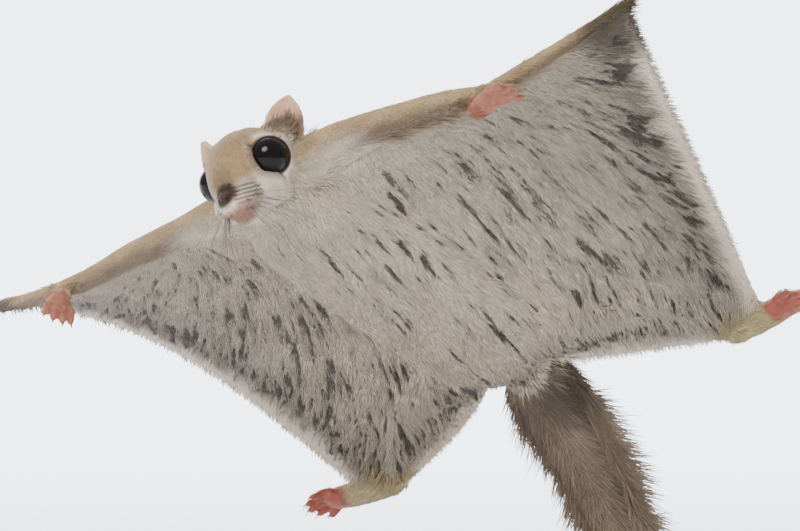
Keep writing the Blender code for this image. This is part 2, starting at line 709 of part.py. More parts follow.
def build():
    for old in list(bpy.data.objects):
        bpy.data.objects.remove(old)

    body = bpy.data.objects.new("body_frame", None)
    body.rotation_mode = "YXZ"
    body.rotation_euler = (GLIDE_PITCH, GLIDE_BANK, GLIDE_HEADING)
    body.location = BODY_OFFSET
    head_frame = bpy.data.objects.new("head_frame", None)
    head_frame.rotation_mode = "YXZ"
    head_frame.rotation_euler = (HEAD_PITCH, HEAD_BANK, HEAD_YAW)
    head_frame.location = HEAD_PLACE
    head_frame.parent = body
    for frame in (body, head_frame):
        bpy.context.scene.collection.objects.link(frame)
    bpy.context.view_layer.update()

    belly_fur = material("belly_fur", (0.72, 0.68, 0.62), 0.9)
    buff_fur = material("buff_fur", (0.42, 0.33, 0.23), 0.9)
    tail_fur = material("tail_fur", (0.30, 0.24, 0.18), 0.9)
    bare_skin = material("bare_skin", (0.62, 0.32, 0.26), 0.6)
    eye_black = material("eye_black", (0.01, 0.008, 0.007), 0.05)
    walnut = material("walnut", (0.16, 0.08, 0.04), 0.45)
    steel = material("steel", (0.55, 0.55, 0.54), 0.3, 1.0)

    torso = trunk("torso", finish_material=belly_fur, parent=body)

    head = whole_head(head_frame, "head", finish_material=buff_fur)
    cut(head, [eyeball(side, grow=GAP, parent=head_frame) for side in SIDES])
    cut(head, [mouth_line(head_frame)])
    cut(head, [nostril(sign, head_frame) for sign in SIDES.values()])
    cut(head, [trunk(grow=GAP, parent=body)])

    throat = neck("neck", finish_material=belly_fur, parent=body)
    cut(throat, [trunk(grow=GAP, parent=body), whole_head(head_frame, grow=GAP)])

    tail = tail_core("tail", finish_material=tail_fur, parent=body)
    fuse(tail, tail_locks(body))
    cut(tail, [trunk(grow=GAP, parent=body)])

    nodes = [torso, head, throat, tail]
    for side in SIDES:
        eye = eyeball(side, f"eye_{side}", finish_material=eye_black, parent=head_frame)
        cup = ear(side, f"ear_{side}", finish_material=buff_fur, parent=head_frame)
        cut(cup, [whole_head(head_frame, grow=GAP), arm(side, grow=GAP, parent=body)])

        upper = arm(side, f"arm_{side}", finish_material=buff_fur, parent=body)
        cut(upper, [trunk(grow=GAP, parent=body), neck(grow=GAP, parent=body),
                    whole_head(head_frame, grow=GAP)])

        palm, *fingers = hand_pieces(side, parent=body)
        palm.name = f"hand_{side}"
        palm.data.materials.append(bare_skin)
        fuse(palm, fingers)
        cut(palm, [arm(side, grow=GAP, parent=body)])

        gristle = spur(side, f"spur_{side}", finish_material=buff_fur, parent=body)
        cut(gristle, [arm(side, grow=GAP, parent=body), *hand_pieces(side, GAP, body)])

        thigh = leg(side, f"leg_{side}", finish_material=belly_fur, parent=body)
        cut(thigh, [trunk(grow=GAP, parent=body), tail_core(grow=GAP, parent=body)])

        sole, *toes = foot_pieces(side, parent=body)
        sole.name = f"foot_{side}"
        sole.data.materials.append(bare_skin)
        fuse(sole, toes)
        cut(sole, [leg(side, grow=GAP, parent=body)])

        sheet = membrane_grid(side, membrane_middle, 11, 8, f"membrane_{side}",
                              finish_material=belly_fur, parent=body)
        cut(sheet, [trunk(grow=GAP, parent=body), neck(grow=GAP, parent=body),
                    arm(side, grow=GAP, parent=body), spur(side, grow=GAP, parent=body),
                    leg(side, grow=GAP, parent=body), *hand_pieces(side, GAP, body),
                    *foot_pieces(side, GAP, body)])

        web = membrane_grid(side, web_middle, 3, 7, f"tail_web_{side}",
                            finish_material=belly_fur, parent=body)
        cut(web, [trunk(grow=GAP, parent=body), leg(side, grow=GAP, parent=body),
                  tail_core(grow=GAP, parent=body), *foot_pieces(side, GAP, body)])
        nodes += [eye, cup, upper, palm, gristle, thigh, sole, sheet, web]

    plate = stand_base(finish_material=walnut)
    rod = stand_rod(finish_material=steel)
    cut(rod, [trunk(grow=GAP, parent=body), tail_core(grow=GAP, parent=body)])
    for made in (*nodes, plate, rod):
        shade(made)


build()
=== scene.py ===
"""A flying squirrel in a glide, in its skin and fur, on a plain display stand."""

import math

import bmesh
import bpy
import numpy as np
from mathutils import Matrix, Vector
from mathutils.bvhtree import BVHTree


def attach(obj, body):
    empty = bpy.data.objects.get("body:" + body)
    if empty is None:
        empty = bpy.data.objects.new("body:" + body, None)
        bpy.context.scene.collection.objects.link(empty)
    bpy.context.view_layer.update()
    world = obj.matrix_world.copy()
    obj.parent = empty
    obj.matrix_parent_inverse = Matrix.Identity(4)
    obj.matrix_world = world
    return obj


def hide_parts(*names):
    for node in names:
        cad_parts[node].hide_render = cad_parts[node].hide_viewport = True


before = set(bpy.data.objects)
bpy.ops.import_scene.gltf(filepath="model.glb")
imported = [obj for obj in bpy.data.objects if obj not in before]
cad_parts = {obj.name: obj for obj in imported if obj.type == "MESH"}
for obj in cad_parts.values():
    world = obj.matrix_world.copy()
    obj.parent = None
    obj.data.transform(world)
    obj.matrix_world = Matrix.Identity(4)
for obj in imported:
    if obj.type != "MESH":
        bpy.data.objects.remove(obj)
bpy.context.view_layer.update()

# The way the animal hangs in the air
# A glide is steered by banking, so the body is pitched up, rolled and turned on its stand.
# Everything on it is measured in millimetres in its own frame: right, forward and out of the
# back from between the shoulders, and for the head from between the eyes.
BODY_PLACE = np.array([-62.0, -66.0, 184.0])
HEAD_PLACE = np.array([-0.6, 31.9, -0.9])


def unit(vectors):
    """Vectors of the same directions and a length of 1."""
    return vectors / np.maximum(np.linalg.norm(vectors, axis=-1, keepdims=True), 1e-9)


def turned(pitch, bank, heading):
    """The matrix of a body that is banked, then pitched, then turned, in degrees."""
    heading = Matrix.Rotation(math.radians(heading), 3, "Z")
    pitch = Matrix.Rotation(math.radians(pitch), 3, "X")
    bank = Matrix.Rotation(math.radians(bank), 3, "Y")
    return np.array(heading @ pitch @ bank)


BODY_TURN = turned(26.0, 24.6, 135.3)
HEAD_TURN = turned(-45.1, 3.8, 3.2)


def to_body(places):
    """World points, in metres, as points of the body's frame."""
    return (np.asarray(places) * 1000 - BODY_PLACE) @ BODY_TURN


def from_body(places):
    """Points of the body's frame as world points, in metres."""
    return (np.asarray(places) @ BODY_TURN.T + BODY_PLACE) / 1000


def to_head(body_places):
    """Points of the body's frame in the head's."""
    return (np.asarray(body_places) - HEAD_PLACE) @ HEAD_TURN


def from_head(head_places):
    """Points of the head's frame in the body's."""
    return np.asarray(head_places) @ HEAD_TURN.T + HEAD_PLACE


# The skin
# One closed hide over trunk, head, limbs, gliding membrane and the tail's bone. It is the
# flesh under the coat, so it lies inside the coat's outer form by the depth of the fur, and
# comes to the surface only where the animal is bare: nose, lips, lids, ears, palms and soles.
FLESH = ["torso", "neck", "head", "tail"]
for part in ("eye", "ear", "arm", "hand", "spur", "leg", "foot", "membrane", "tail_web"):
    FLESH += [part + "_left", part + "_right"]
# For each region, how far the flesh's creases are smoothed away, and the depth of its coat in
# millimetres. The membrane's coat also thins towards its free edge.
SOFTNESS = {"torso": 1.0, "head": 0.30, "ear": 0.05, "arm": 0.7, "hand": 0.04, "spur": 0.5,
            "leg": 0.8, "foot": 0.06, "membrane": 0.45, "tail_web": 0.4, "tail": 0.8}
COAT_DEPTH = {"torso": 1.3, "head": 0.5, "ear": 0.1, "arm": 0.7, "hand": 0.0, "spur": 0.6,
              "leg": 1.0, "foot": 0.1, "membrane": 0.0, "tail_web": 0.7, "tail": 0.0}
REGIONS = list(SOFTNESS)
# In metres, the grid that joins the flesh into one skin, and how far each solid swells before.
# Then the rounds of smoothing, and the share of the triangles that is kept.
SKIN_GRAIN = 0.00058
FLESH_SWELL = 0.00025
SOFTENING_ROUNDS = 26
SHARE_KEPT = 0.24
# In millimetres, as is all that follows: the tail, with how far behind its root it ends, and
# the face.
TAIL_ROOT = np.array([0, -110.0, 2.0])
TAIL_LENGTH = 113.0
TAIL_REACH = 66
EYE_RADIUS = 6.0
EYES = {"left": np.array([-10.5, -2.3, 0.35]), "right": np.array([9.7, -2.8, 0.55])}
EYE_AIMS = {"left": (-0.66, 0.73, 0.12), "right": (0.66, 0.73, 0.12)}
EYE_AIMS = {side: np.array(aim) / np.linalg.norm(aim) for side, aim in EYE_AIMS.items()}
LID_ANGLE = 77.0
SWING = np.radians(np.linspace(-86, 86, 17))
MOUTH = np.stack([6.2 * np.sin(SWING), 5.6 + 7.7 * np.cos(SWING),
                  -9.9 - 1.5 * (1 - np.cos(SWING))], 1)
PHILTRUM = np.array([[0, 15.5, -5.6], [0, 13.6, -9.6]])


def ease(low, high, value):
    """0 below low, 1 above high, and a smooth rise between."""
    t = np.clip((np.asarray(value, float) - low) / (high - low), 0, 1)
    return t * t * (3 - 2 * t)


def fade(low, high, value):
    """1 below low, 0 above high, and a smooth fall between."""
    return 1 - ease(low, high, value)


def gap(places, spot):
    """Distance from each place to one spot."""
    return np.linalg.norm(places - spot, axis=1)


def gap_to(places, line):
    """Distance from each place to a bent line."""
    near = np.full(len(places), 1e9)
    for a, b in zip(line, line[1:]):
        span = b - a
        t = np.clip(((places - a) @ span) / (span @ span), 0, 1)
        near = np.minimum(near, np.linalg.norm(places - a - t[:, None] * span, axis=1))
    return near


def eye_gap(head):
    """Distance from each place of the head's frame to the nearer eye's centre."""
    return np.minimum(*(gap(head, eye) for eye in EYES.values()))


def mesh_of(name, bm):
    """What was built, as a smooth mesh."""
    made = bpy.data.meshes.new(name)
    bm.to_mesh(made)
    bm.free()
    made.shade_smooth()
    return made


def placed(name, data):
    """A new object in the scene."""
    made = bpy.data.objects.new(name, data)
    bpy.context.scene.collection.objects.link(made)
    return made


def close_rod(bm, rings):
    """Faces between rings of points, with a flat end on the first and the last."""
    sides = len(rings[0])
    for a, b in zip(rings, rings[1:]):
        for k in range(sides):
            n = (k + 1) % sides
            bm.faces.new((a[k], a[n], b[n], b[k]))
    bm.faces.new(rings[0][::-1])
    bm.faces.new(rings[-1])


def tail_bone(share):
    """Centre and direction of the tail, in the body's frame, a share of the way from its root."""
    share = np.atleast_1d(np.asarray(share, float))
    fine = np.linspace(0, 1, 201)
    drop = np.radians(31 + 45 * fine)
    step = np.stack([0 * fine, -np.cos(drop), -np.sin(drop)], 1) * TAIL_LENGTH / 200
    line = TAIL_ROOT + np.cumsum(step, 0) - step
    line[:, 0] = -0.8 * np.sin(math.pi * fine)
    at = np.clip(share, 0, 1) * 200
    low = np.minimum(at.astype(int), 199)
    centre = line[low] + (line[low + 1] - line[low]) * (at - low)[:, None]
    return centre, unit(line[low + 1] - line[low])


def along_tail(body):
    """How far along the tail each place is, from 0 at its root to 1 at its end."""
    return np.clip((TAIL_ROOT[1] - body[:, 1]) / TAIL_REACH, 0, 1)


def tail_flesh(bm):
    """The tail's bone with its muscle, slim and flat under the long hair."""
    sides = 14
    stations = [-0.18, 0, 0.10, 0.25, 0.5, 0.8, 0.97]
    rings = []
    for share in np.linspace(stations[0], stations[-1], 26):
        centre, along = (v[0] for v in tail_bone(max(share, 0)))
        centre = centre + along * min(share, 0) * TAIL_LENGTH
        rise = np.cross([1, 0, 0], along) * -1
        wide = np.interp(share, stations, [7, 10, 10, 8.6, 7.2, 6.4, 3])
        high = np.interp(share, stations, [4, 6.6, 5.8, 4.8, 3.9, 3.3, 2])
        turn = np.arange(sides) * math.tau / sides
        ring = (centre + np.outer(np.cos(turn) * wide, [1, 0, 0])
                + np.outer(np.sin(turn) * high, rise))
        rings.append([bm.verts.new(p) for p in from_body(ring)])
    close_rod(bm, rings)


def flesh_solids():
    """All the flesh as one mesh of overlapping solids, and the region that each face is of."""
    whole = bmesh.new()
    labels = []
    for name in FLESH:
        part = bmesh.new()
        if name == "tail":
            tail_flesh(part)
        else:
            part.from_mesh(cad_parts[name].data)
            bmesh.ops.remove_doubles(part, verts=part.verts, dist=1e-6)
        bmesh.ops.recalc_face_normals(part, faces=part.faces)
        part.normal_update()
        for vert in part.verts:
            vert.co += vert.normal * FLESH_SWELL
        stem = name.replace("_left", "").replace("_right", "")
        stem = {"neck": "torso", "eye": "head"}.get(stem, stem)
        bmesh.ops.triangulate(part, faces=part.faces)
        mesh = bpy.data.meshes.new(name + "_flesh")
        part.to_mesh(mesh)
        labels += [REGIONS.index(stem)] * len(mesh.polygons)
        part.free()
        whole.from_mesh(mesh)
        bpy.data.meshes.remove(mesh)
    made = bpy.data.meshes.new("flesh")
    whole.to_mesh(made)
    whole.free()
    return made, np.array(labels)


def applied(made, kind, **settings):
    """The object's mesh after one modifier."""
    modifier = made.modifiers.new(kind.lower(), kind)
    for key, value in settings.items():
        setattr(modifier, key, value)
    bpy.context.view_layer.update()
    result = bpy.data.meshes.new_from_object(
        made.evaluated_get(bpy.context.evaluated_depsgraph_get()))
    made.modifiers.clear()
    old, made.data = made.data, result
    bpy.data.meshes.remove(old)


# Where each hand and foot starts in the body's frame, and the way it points.
PAWS = {}
for name, root, aim in (("hand_left", (-78.6, 14.1, -3.3), (-0.93, 0.10, 0.02)),
                        ("hand_right", (86.3, 17.3, 2.3), (-0.30, 0.27, -0.92)),
                        ("foot_left", (-67, -130, -2), (-1.0, 0.12, -0.06)),
                        ("foot_right", (67, -123, -6), (1.0, 0.14, 0.04))):
    PAWS[name] = (np.array(root, float), np.array(aim) / np.linalg.norm(aim))


def places_of(mesh):
    """A mesh's points as an array."""
    found = np.empty(len(mesh.vertices) * 3, np.float32)
    mesh.vertices.foreach_get("co", found)
    return found.reshape(-1, 3).astype(float)


def normals_of(mesh):
    """The directions in which a mesh's points face."""
    found = np.empty(len(mesh.vertices) * 3, np.float32)
    mesh.vertex_normals.foreach_get("vector", found)
    return found.reshape(-1, 3).astype(float)


def put(mesh, places):
    """Move a mesh's points."""
    mesh.vertices.foreach_set("co", places.astype(np.float32).ravel())
    mesh.update()


def averaged(mesh, values, rounds, share=0.6):
    """Each point's values drawn towards its neighbours' mean, by a share each round."""
    edges = np.empty(len(mesh.edges) * 2, np.int32)
    mesh.edges.foreach_get("vertices", edges)
    a, b = edges.reshape(-1, 2).T
    count = len(mesh.vertices)
    degree = np.maximum(np.bincount(a, minlength=count) + np.bincount(b, minlength=count), 1)
    values = values.copy()
    for _ in range(rounds):
        for column in range(values.shape[1]):
            v = values[:, column]
            total = np.bincount(a, v[b], count) + np.bincount(b, v[a], count)
            values[:, column] = v + (total / degree - v) * share
    return values


def region_of(mesh, tree, labels):
    """The region of the flesh that each point of a mesh is nearest to."""
    return np.array([labels[tree.find_nearest(v.co)[2]] for v in mesh.vertices])


def carve(head, inward, line, radius, depth):
    """Press a round-bottomed groove into the head along a line of points."""
    return head + inward * (depth * fade(0, radius, gap_to(head, line)))[:, None]


def shape_face(mesh):
    """Lids drawn over the eyeballs, and the nostrils, lips and cleft pressed in."""
    head = to_head(to_body(places_of(mesh)))
    inward = -(normals_of(mesh) @ BODY_TURN) @ HEAD_TURN
    close = gap(head, [0, 0, -3]) < 32
    face, sunk = head[close], inward[close]
    for side, eye in EYES.items():
        ray = face - eye
        reach = np.linalg.norm(ray, axis=1)
        cosine = (ray @ EYE_AIMS[side]) / np.maximum(reach, 1e-6)
        angle = np.degrees(np.arccos(np.clip(cosine, -1, 1)))
        ball = reach < EYE_RADIUS + 3.2
        open_eye = fade(LID_ANGLE - 7, LID_ANGLE + 3, angle)
        lid = EYE_RADIUS + 0.55 - 2.2 * open_eye
        hold = ball * fade(LID_ANGLE + 12, LID_ANGLE + 40, angle)
        past = ease(LID_ANGLE + 4, LID_ANGLE + 30, angle)
        wanted = lid * (1 - past) + np.maximum(reach, lid) * past
        face = eye + unit(ray) * (reach + (wanted - reach) * hold)[:, None]
    for sign in (-1, 1):
        pit = np.array([[sign * 1.35, 16.2, -4.3], [sign * 2.1, 15.2, -4.0]])
        face = carve(face, sunk, pit, 0.85, 0.9)
    face = carve(face, sunk, MOUTH, 0.95, 0.75)
    face = carve(face, sunk, PHILTRUM, 0.7, 0.6)
    head[close] = face
    put(mesh, from_body(from_head(head)))


def coat_depth(body, parts):
    """How deep the fur is over each place of the skin, in millimetres."""
    out = np.abs(body[:, 0])
    depth = np.array([COAT_DEPTH[name] for name in REGIONS])[parts]
    sheet = parts == REGIONS.index("membrane")
    depth[sheet] = 1.2 - 0.6 * ease(25, 95, out[sheet])
    bare = parts == REGIONS.index("head")
    head = to_head(body[bare])
    clear = ease(1.0, 5.0, head[:, 1] - 12 + np.abs(head[:, 0]) * 0.3) * ease(-13, -10, head[:, 2])
    depth[bare] *= (1 - clear) * ease(EYE_RADIUS + 0.6, EYE_RADIUS + 3.5, eye_gap(head))
    return depth


def face_nearness(places):
    """1 on the face and the paws, 0 well away from them."""
    body = to_body(places)
    near = fade(17, 22, gap(to_head(body), [0, 4, -3]))
    for root, aim in PAWS.values():
        near = np.maximum(near, fade(15, 21, gap(body - root, aim * 12)))
    return near


def refine_face(mesh):
    """Halve the edges of the face, for lids, lips and nostrils."""
    bm = bmesh.new()
    bm.from_mesh(mesh)
    head = to_head(to_body([v.co for v in bm.verts]))
    close = gap(head, [0, 5, -4]) < 15.5
    edges = [e for e in bm.edges if close[e.verts[0].index] and close[e.verts[1].index]]
    bmesh.ops.subdivide_edges(bm, edges=edges, cuts=1, use_grid_fill=True)
    bmesh.ops.triangulate(bm, faces=bm.faces)
    bm.to_mesh(mesh)
    bm.free()


def loosen(mesh, softness):
    """Smooth a mesh round by round, most where it is soft."""
    rough = places_of(mesh)
    for _ in range(SOFTENING_ROUNDS):
        rough = rough + (averaged(mesh, rough, 1, 1.0) - rough) * 0.6 * softness
    put(mesh, rough)


flesh_mesh, flesh_labels = flesh_solids()
flesh_tree = BVHTree.FromPolygons(
    [v.co.copy() for v in flesh_mesh.vertices], [tuple(p.vertices) for p in flesh_mesh.polygons])
skin = placed("skin", flesh_mesh)
applied(skin, "REMESH", mode="VOXEL", voxel_size=SKIN_GRAIN, adaptivity=0.0)
parts = region_of(skin.data, flesh_tree, flesh_labels)
softness = np.array(list(SOFTNESS.values()))[parts]
loosen(skin.data, averaged(skin.data, softness[:, None], 6))
rough = places_of(skin.data)
deep = averaged(skin.data, coat_depth(to_body(rough), parts)[:, None], 8)
put(skin.data, rough - normals_of(skin.data) * deep / 1000)
applied(skin, "TRIANGULATE")
guard = skin.vertex_groups.new(name="thinned")
away = 1 - face_nearness(places_of(skin.data))
for level in range(11):
    chosen = np.flatnonzero(np.round(away * 10) == level)
    guard.add([int(v) for v in chosen], max(level / 10, 0.02), "REPLACE")
applied(skin, "DECIMATE", ratio=SHARE_KEPT, vertex_group="thinned", vertex_group_factor=1.0)
skin.vertex_groups.clear()
refine_face(skin.data)
shape_face(skin.data)
skin.data.shade_smooth()
parts = region_of(skin.data, flesh_tree, flesh_labels)
shares = averaged(skin.data, np.eye(len(REGIONS))[parts], 7)
skin_places = places_of(skin.data)
skin_normals = normals_of(skin.data)


# The markings
# The coat is buff brown on the crown and arms, grey brown over the back and tail, and cream
# to pale grey below, with darker grey wool at the roots. Skin and hair take them from one place.
# Painted light and shade are in them too: on the arms, in and beside the partings of the pale
# hair, and in the nostrils, the mouth's crease and the lips' folds.


def pigment(code):
    """Linear red, green and blue of an sRGB hex colour."""
    parts = np.array([int(code[k:k + 2], 16) for k in (1, 3, 5)]) / 255
    return np.where(parts <= 0.04045, parts / 12.92, ((parts + 0.055) / 1.055) ** 2.4)


CROWN_BUFF = pigment("#a98252")
FACE_CREAM = pigment("#e2d0b8")
BELLY_CREAM = pigment("#d0bfa6")
OUTER_GREY = pigment("#ac9d88")
BACK_BROWN = pigment("#95805f")
# The arms in painted light and in painted shade; the darker one also darkens the wing tips.
ARM_LIT_BUFF = pigment("#b3966d")
ARM_SHADE = pigment("#7a664e")
HEEL_OLIVE = pigment("#a8966b")
TAIL_BROWN = pigment("#8d7a65")
TAIL_ROOT_DARK = pigment("#52463a")
WOOL_GREY = pigment("#857a6c")
# The dark in the partings: the wool's colour with painted shadow in it.
PARTING_WOOL_AND_SHADOW = pigment("#2b2219")
RIM_BROWN = pigment("#241812")
NOSE_BROWN = pigment("#331d13")
LIP_PINK = pigment("#a06a56")
EAR_TAN = pigment("#c79c7c")
EAR_DARK = pigment("#5e4a3c")
TEMPLE_GREY = pigment("#6f5e4b")
PAW_PINK = pigment("#8f5643")
SOLE_PINK = pigment("#8c4736")

# How far from its root, in millimetres, a place can still be of the hand or foot.
PAW_REACH = 40
# Random values, large numbers that scatter a place's cell and the seed over them, and how far
# the smooth grain made from them strays from one half.
lattice = np.random.default_rng(11).random(65536)
SCATTER = (73856093, 19349663, 83492791, 2654435761)
GRAIN_SPREAD = 0.190


def grain(places, cell, seed):
    """Smooth random values from 0 to 1, one cell of them to so many millimetres."""
    q = np.asarray(places) / cell + 1000
    base = np.floor(q).astype(np.int64)
    f = q - base
    f = f * f * (3 - 2 * f)
    total = 0
    for dx in (0, 1):
        for dy in (0, 1):
            for dz in (0, 1):
                key = ((base[:, 0] + dx) * SCATTER[0] ^ (base[:, 1] + dy) * SCATTER[1]
                       ^ (base[:, 2] + dz) * SCATTER[2] ^ seed * SCATTER[3])
                weight = (np.where(dx, f[:, 0], 1 - f[:, 0]) * np.where(dy, f[:, 1], 1 - f[:, 1])
                          * np.where(dz, f[:, 2], 1 - f[:, 2]))
                total = total + lattice[key & (len(lattice) - 1)] * weight
    return total


def blend(colours, other, amount):
    """Colours drawn towards others, by an amount for each place."""
    return colours + (other - colours) * np.asarray(amount)[:, None]


def share_of(shares, *names):
    """How much of each place belongs to the regions named."""
    return sum(shares[:, REGIONS.index(name)] for name in names)


def mostly(shares, gain, *names):
    """The same share, raised by a gain, and 1 at most."""
    return np.clip(share_of(shares, *names) * gain, 0, 1)


# The free edge runs from the tip of the spur to the foot, and on along the web to the tail.
FREE_EDGES, FRONT_EDGES = [], []
for tip, bow, foot, hem, front in (
        ((-122.5, -1.5, 22), (1, 0, 2), "foot_left", ((-36, -119, -2), (-11, -105, -1)),
         ((-10, 12, 3), (-34, 16, 4), (-80, 13, 1.5))),
        ((124.5, 8.6, 19.2), (-8, 0, 11.5), "foot_right", ((36, -119, -2), (11, -105, -1)),
         ((10, 12, 3), (34, 16, 4), (86.3, 14.9, 5.4)))):
    ankle, aim = PAWS[foot]
    share = np.linspace(0, 1, 13)[:, None]
    tip = np.array(tip, float)
    edge = tip + (ankle + aim * 12 - tip) * share
    edge = edge + np.array(bow, float) * np.sin(math.pi * share ** 0.75)
    FREE_EDGES.append(np.vstack([edge, ankle + np.array([0, -5, 0]), hem]))
    FRONT_EDGES.append(np.vstack([front, tip]))


def all_over(colour, places):
    """One colour at every place."""
    return np.tile(colour, (len(places), 1))


def edge_gap(body):
    """Distance from each place to the free edge of the membrane."""
    return np.minimum(gap_to(body, FREE_EDGES[0]), gap_to(body, FREE_EDGES[1]))


def front_gap(body):
    """Distance from each place to the membrane's leading edge."""
    return np.minimum(gap_to(body, FRONT_EDGES[0]), gap_to(body, FRONT_EDGES[1]))


def tip_gap(body):
    """Distance from each place to the nearer wing tip."""
    return np.minimum(gap(body, FRONT_EDGES[0][-1]), gap(body, FRONT_EDGES[1][-1]))


def reach_along(body, name):
    """How far along a hand or foot each place is from its root, in millimetres."""
    root, aim = PAWS[name]
    return (body - root) @ aim


def wander(places, cell, seed):
    """Smooth random values about zero, mostly within 1 of it."""
    return (grain(places, cell, seed) - 0.5) * 4


def head_coat(body, facing, shares):
    """Buff crown, cream cheeks, grey temples, dark nose bridge, the bare parts, and painted shade
    in their creases.
    """
    head = to_head(body)
    hx, hy, hz = head.T
    out = np.abs(hx)
    crown = ease(-4.0, 0.5, hz + 0.10 * hy - 0.10 * out)
    coat = blend(all_over(FACE_CREAM, body), CROWN_BUFF, crown * 0.92)
    coat = blend(coat, TEMPLE_GREY, 0.28 * crown * ease(5, 10, hz))
    fleck = wander(head, 0.7, 5)
    coat = blend(coat, TEMPLE_GREY, crown * 0.45 * ease(0.3, 1.3, fleck))
    temple = (ease(7.5, 10.5, out) * ease(-16.5, -13.5, hy) * fade(-9.0, -6.5, hy)
              * ease(-5.0, -2.0, hz))
    coat = blend(coat, TEMPLE_GREY, 0.8 * temple)
    beside = eye_gap(head) - EYE_RADIUS
    coat = blend(coat, FACE_CREAM, 0.75 * ease(0.8, 1.4, beside) * fade(2.2, 3.8, beside))
    coat = blend(coat, RIM_BROWN, fade(0.35, 0.8, beside))
    bridge = ease(8.0, 12.0, hy) * ease(-6.5, -3.5, hz) * fade(2.6, 4.8, out)
    coat = blend(coat, TEMPLE_GREY, 0.7 * bridge)
    row = np.sin((hz - 0.3 * hy) * math.tau / 1.35) * 0.5 + 0.5
    pad = (ease(6.5, 8.5, hy) * ease(-9.5, -7.5, hz) * fade(-3.2, -2.0, hz)
           * ease(2.4, 3.6, out))
    coat = blend(coat, RIM_BROWN * 2, 0.8 * pad * ease(0.35, 0.75, row))
    coat = blend(coat, TEMPLE_GREY, 0.3 * pad)
    nose = fade(2.6, 4.4, gap((head - [0.2, 14.9, -3.3]) * [0.85, 0.8, 0.9], 0))
    lips = fade(2.2, 4.6, gap((head - [0, 12.2, -10.4]) * [0.5, 0.6, 0.9], 0))
    coat = blend(coat, LIP_PINK, lips * 0.9 * (1 - nose))
    # Painted shade in the lips' folds: fine stripes across the lips, a little darker.
    lip_fold_shade = np.sin(hx * math.tau / 1.5) * 0.5 + 0.5
    coat = coat * (1 - 0.2 * lips * lip_fold_shade)[:, None]
    coat = blend(coat, NOSE_BROWN, nose)
    # Painted shade in the crease of the mouth, along the line where the lips meet.
    mouth_crease_shade = fade(0.25, 0.75, gap_to(head, MOUTH)) * ease(6.5, 9.0, hy)
    coat = blend(coat, RIM_BROWN, 0.8 * mouth_crease_shade)
    # Painted shadow in the nostrils: near black in each pit.
    for nostril in ((-1.6, 16.2, -4.5), (1.6, 16.2, -4.5)):
        pit = fade(0.5, 1.1, gap(head, nostril))
        coat = blend(coat, RIM_BROWN * 0.3, pit)
    aim = facing @ HEAD_TURN
    inner = ease(0.1, 0.5, aim[:, 1] + 0.3 * np.abs(aim[:, 0]))
    cup = blend(all_over(TEMPLE_GREY * 1.3, body), EAR_TAN, inner)
    cup = blend(cup, EAR_DARK, fade(5.5, 10.0, hz) * 0.85 * inner)
    return blend(coat, cup, mostly(shares, 1.4, "ear"))


def markings(body, facing, shares):
    """The coat's colour at each place, with painted light and shade on the arms: body frame,
    facing (normal) and region shares.
    """
    x, y = body.T[:2]
    out = np.abs(x)
    under = fade(-0.10, 0.22, facing[:, 2])
    below = blend(all_over(BELLY_CREAM, body), OUTER_GREY, ease(25, 90, out))
    colour = blend(all_over(BACK_BROWN, body), below, under)
    colour = colour * (1 + 0.05 * wander(body, 9.0, 7))[:, None]
    rim, front = edge_gap(body), front_gap(body)
    sheet = share_of(shares, "membrane", "spur", "tail_web", "leg")
    dusk = ease(4, 8, rim) * fade(14, 30, rim) * under
    dusk = dusk * (0.4 + 0.6 * ease(6, 24, front)) * ease(5, 16, front)
    colour = blend(colour, WOOL_GREY, 0.34 * dusk * np.clip(sheet, 0, 1))
    fringe = sheet * fade(3.0, 6.5, rim)
    pale = blend(all_over(FACE_CREAM, body), OUTER_GREY, 1 - under)
    colour = blend(colour, pale, fringe)
    arm = mostly(shares, 1.3, "arm", "spur")
    # Painted light and shade on the arms and spurs: lighter where they face one fixed way (up,
    # forward and to the animal's left), and dark brown painted shade where they face away. Near
    # the body the shaded side is a darker cream instead.
    lit = ease(-0.75, 0.45, facing @ np.array([-0.37, 0.44, 0.82]))
    band = blend(all_over(ARM_SHADE, body), ARM_LIT_BUFF, lit)
    band = blend(band, BELLY_CREAM * 0.9, (1 - lit) * fade(30, 44, out))
    band = band * (1 + 0.12 * wander(body * [0.25, 1, 1], 1.6, 8))[:, None]
    colour = blend(colour, band, arm)
    colour = blend(colour, ARM_SHADE * 0.3, 0.85 * fade(13, 25, tip_gap(body)))
    crease = 1 + 0.16 * wander(body, 1.3, 9)
    paws = (("foot_left", 14, SOLE_PINK), ("foot_right", 14, SOLE_PINK),
            ("hand_left", -12, PAW_PINK), ("hand_right", 0.5, PAW_PINK))
    for name, start, pink in paws:
        along = reach_along(body, name)
        away = gap(body, PAWS[name][0])
        paw = mostly(shares, 1.6, "foot", "hand") * (away < PAW_REACH)
        if name.startswith("foot"):
            colour = blend(colour, HEEL_OLIVE, np.maximum(paw, fade(6, 13, away)))
        bare = paw * ease(start, start + 3, along) * (1 - 0.6 * ease(0.2, 0.7, facing[:, 2]))
        colour = blend(colour, pink, bare)
        colour = colour * (1 + (crease - 1) * bare)[:, None]
    ring = ease(108, 111, -y) * fade(114, 124, -y) * (0.5 + 0.5 * ease(-0.5, 0.5, -x / 8))
    fur_tone = blend(all_over(TAIL_BROWN, body), TAIL_ROOT_DARK, 0.85 * ring)
    fur_tone = blend(fur_tone, BELLY_CREAM, fade(107, 110, -y) * under)
    fur_tone = fur_tone * (1 + 0.10 * wander(body, 7.0, 17))[:, None]
    colour = blend(colour, fur_tone, mostly(shares, 1.2, "tail"))
    return blend(colour, head_coat(body, facing, shares),
                 mostly(shares, 1.1, "head", "ear"))


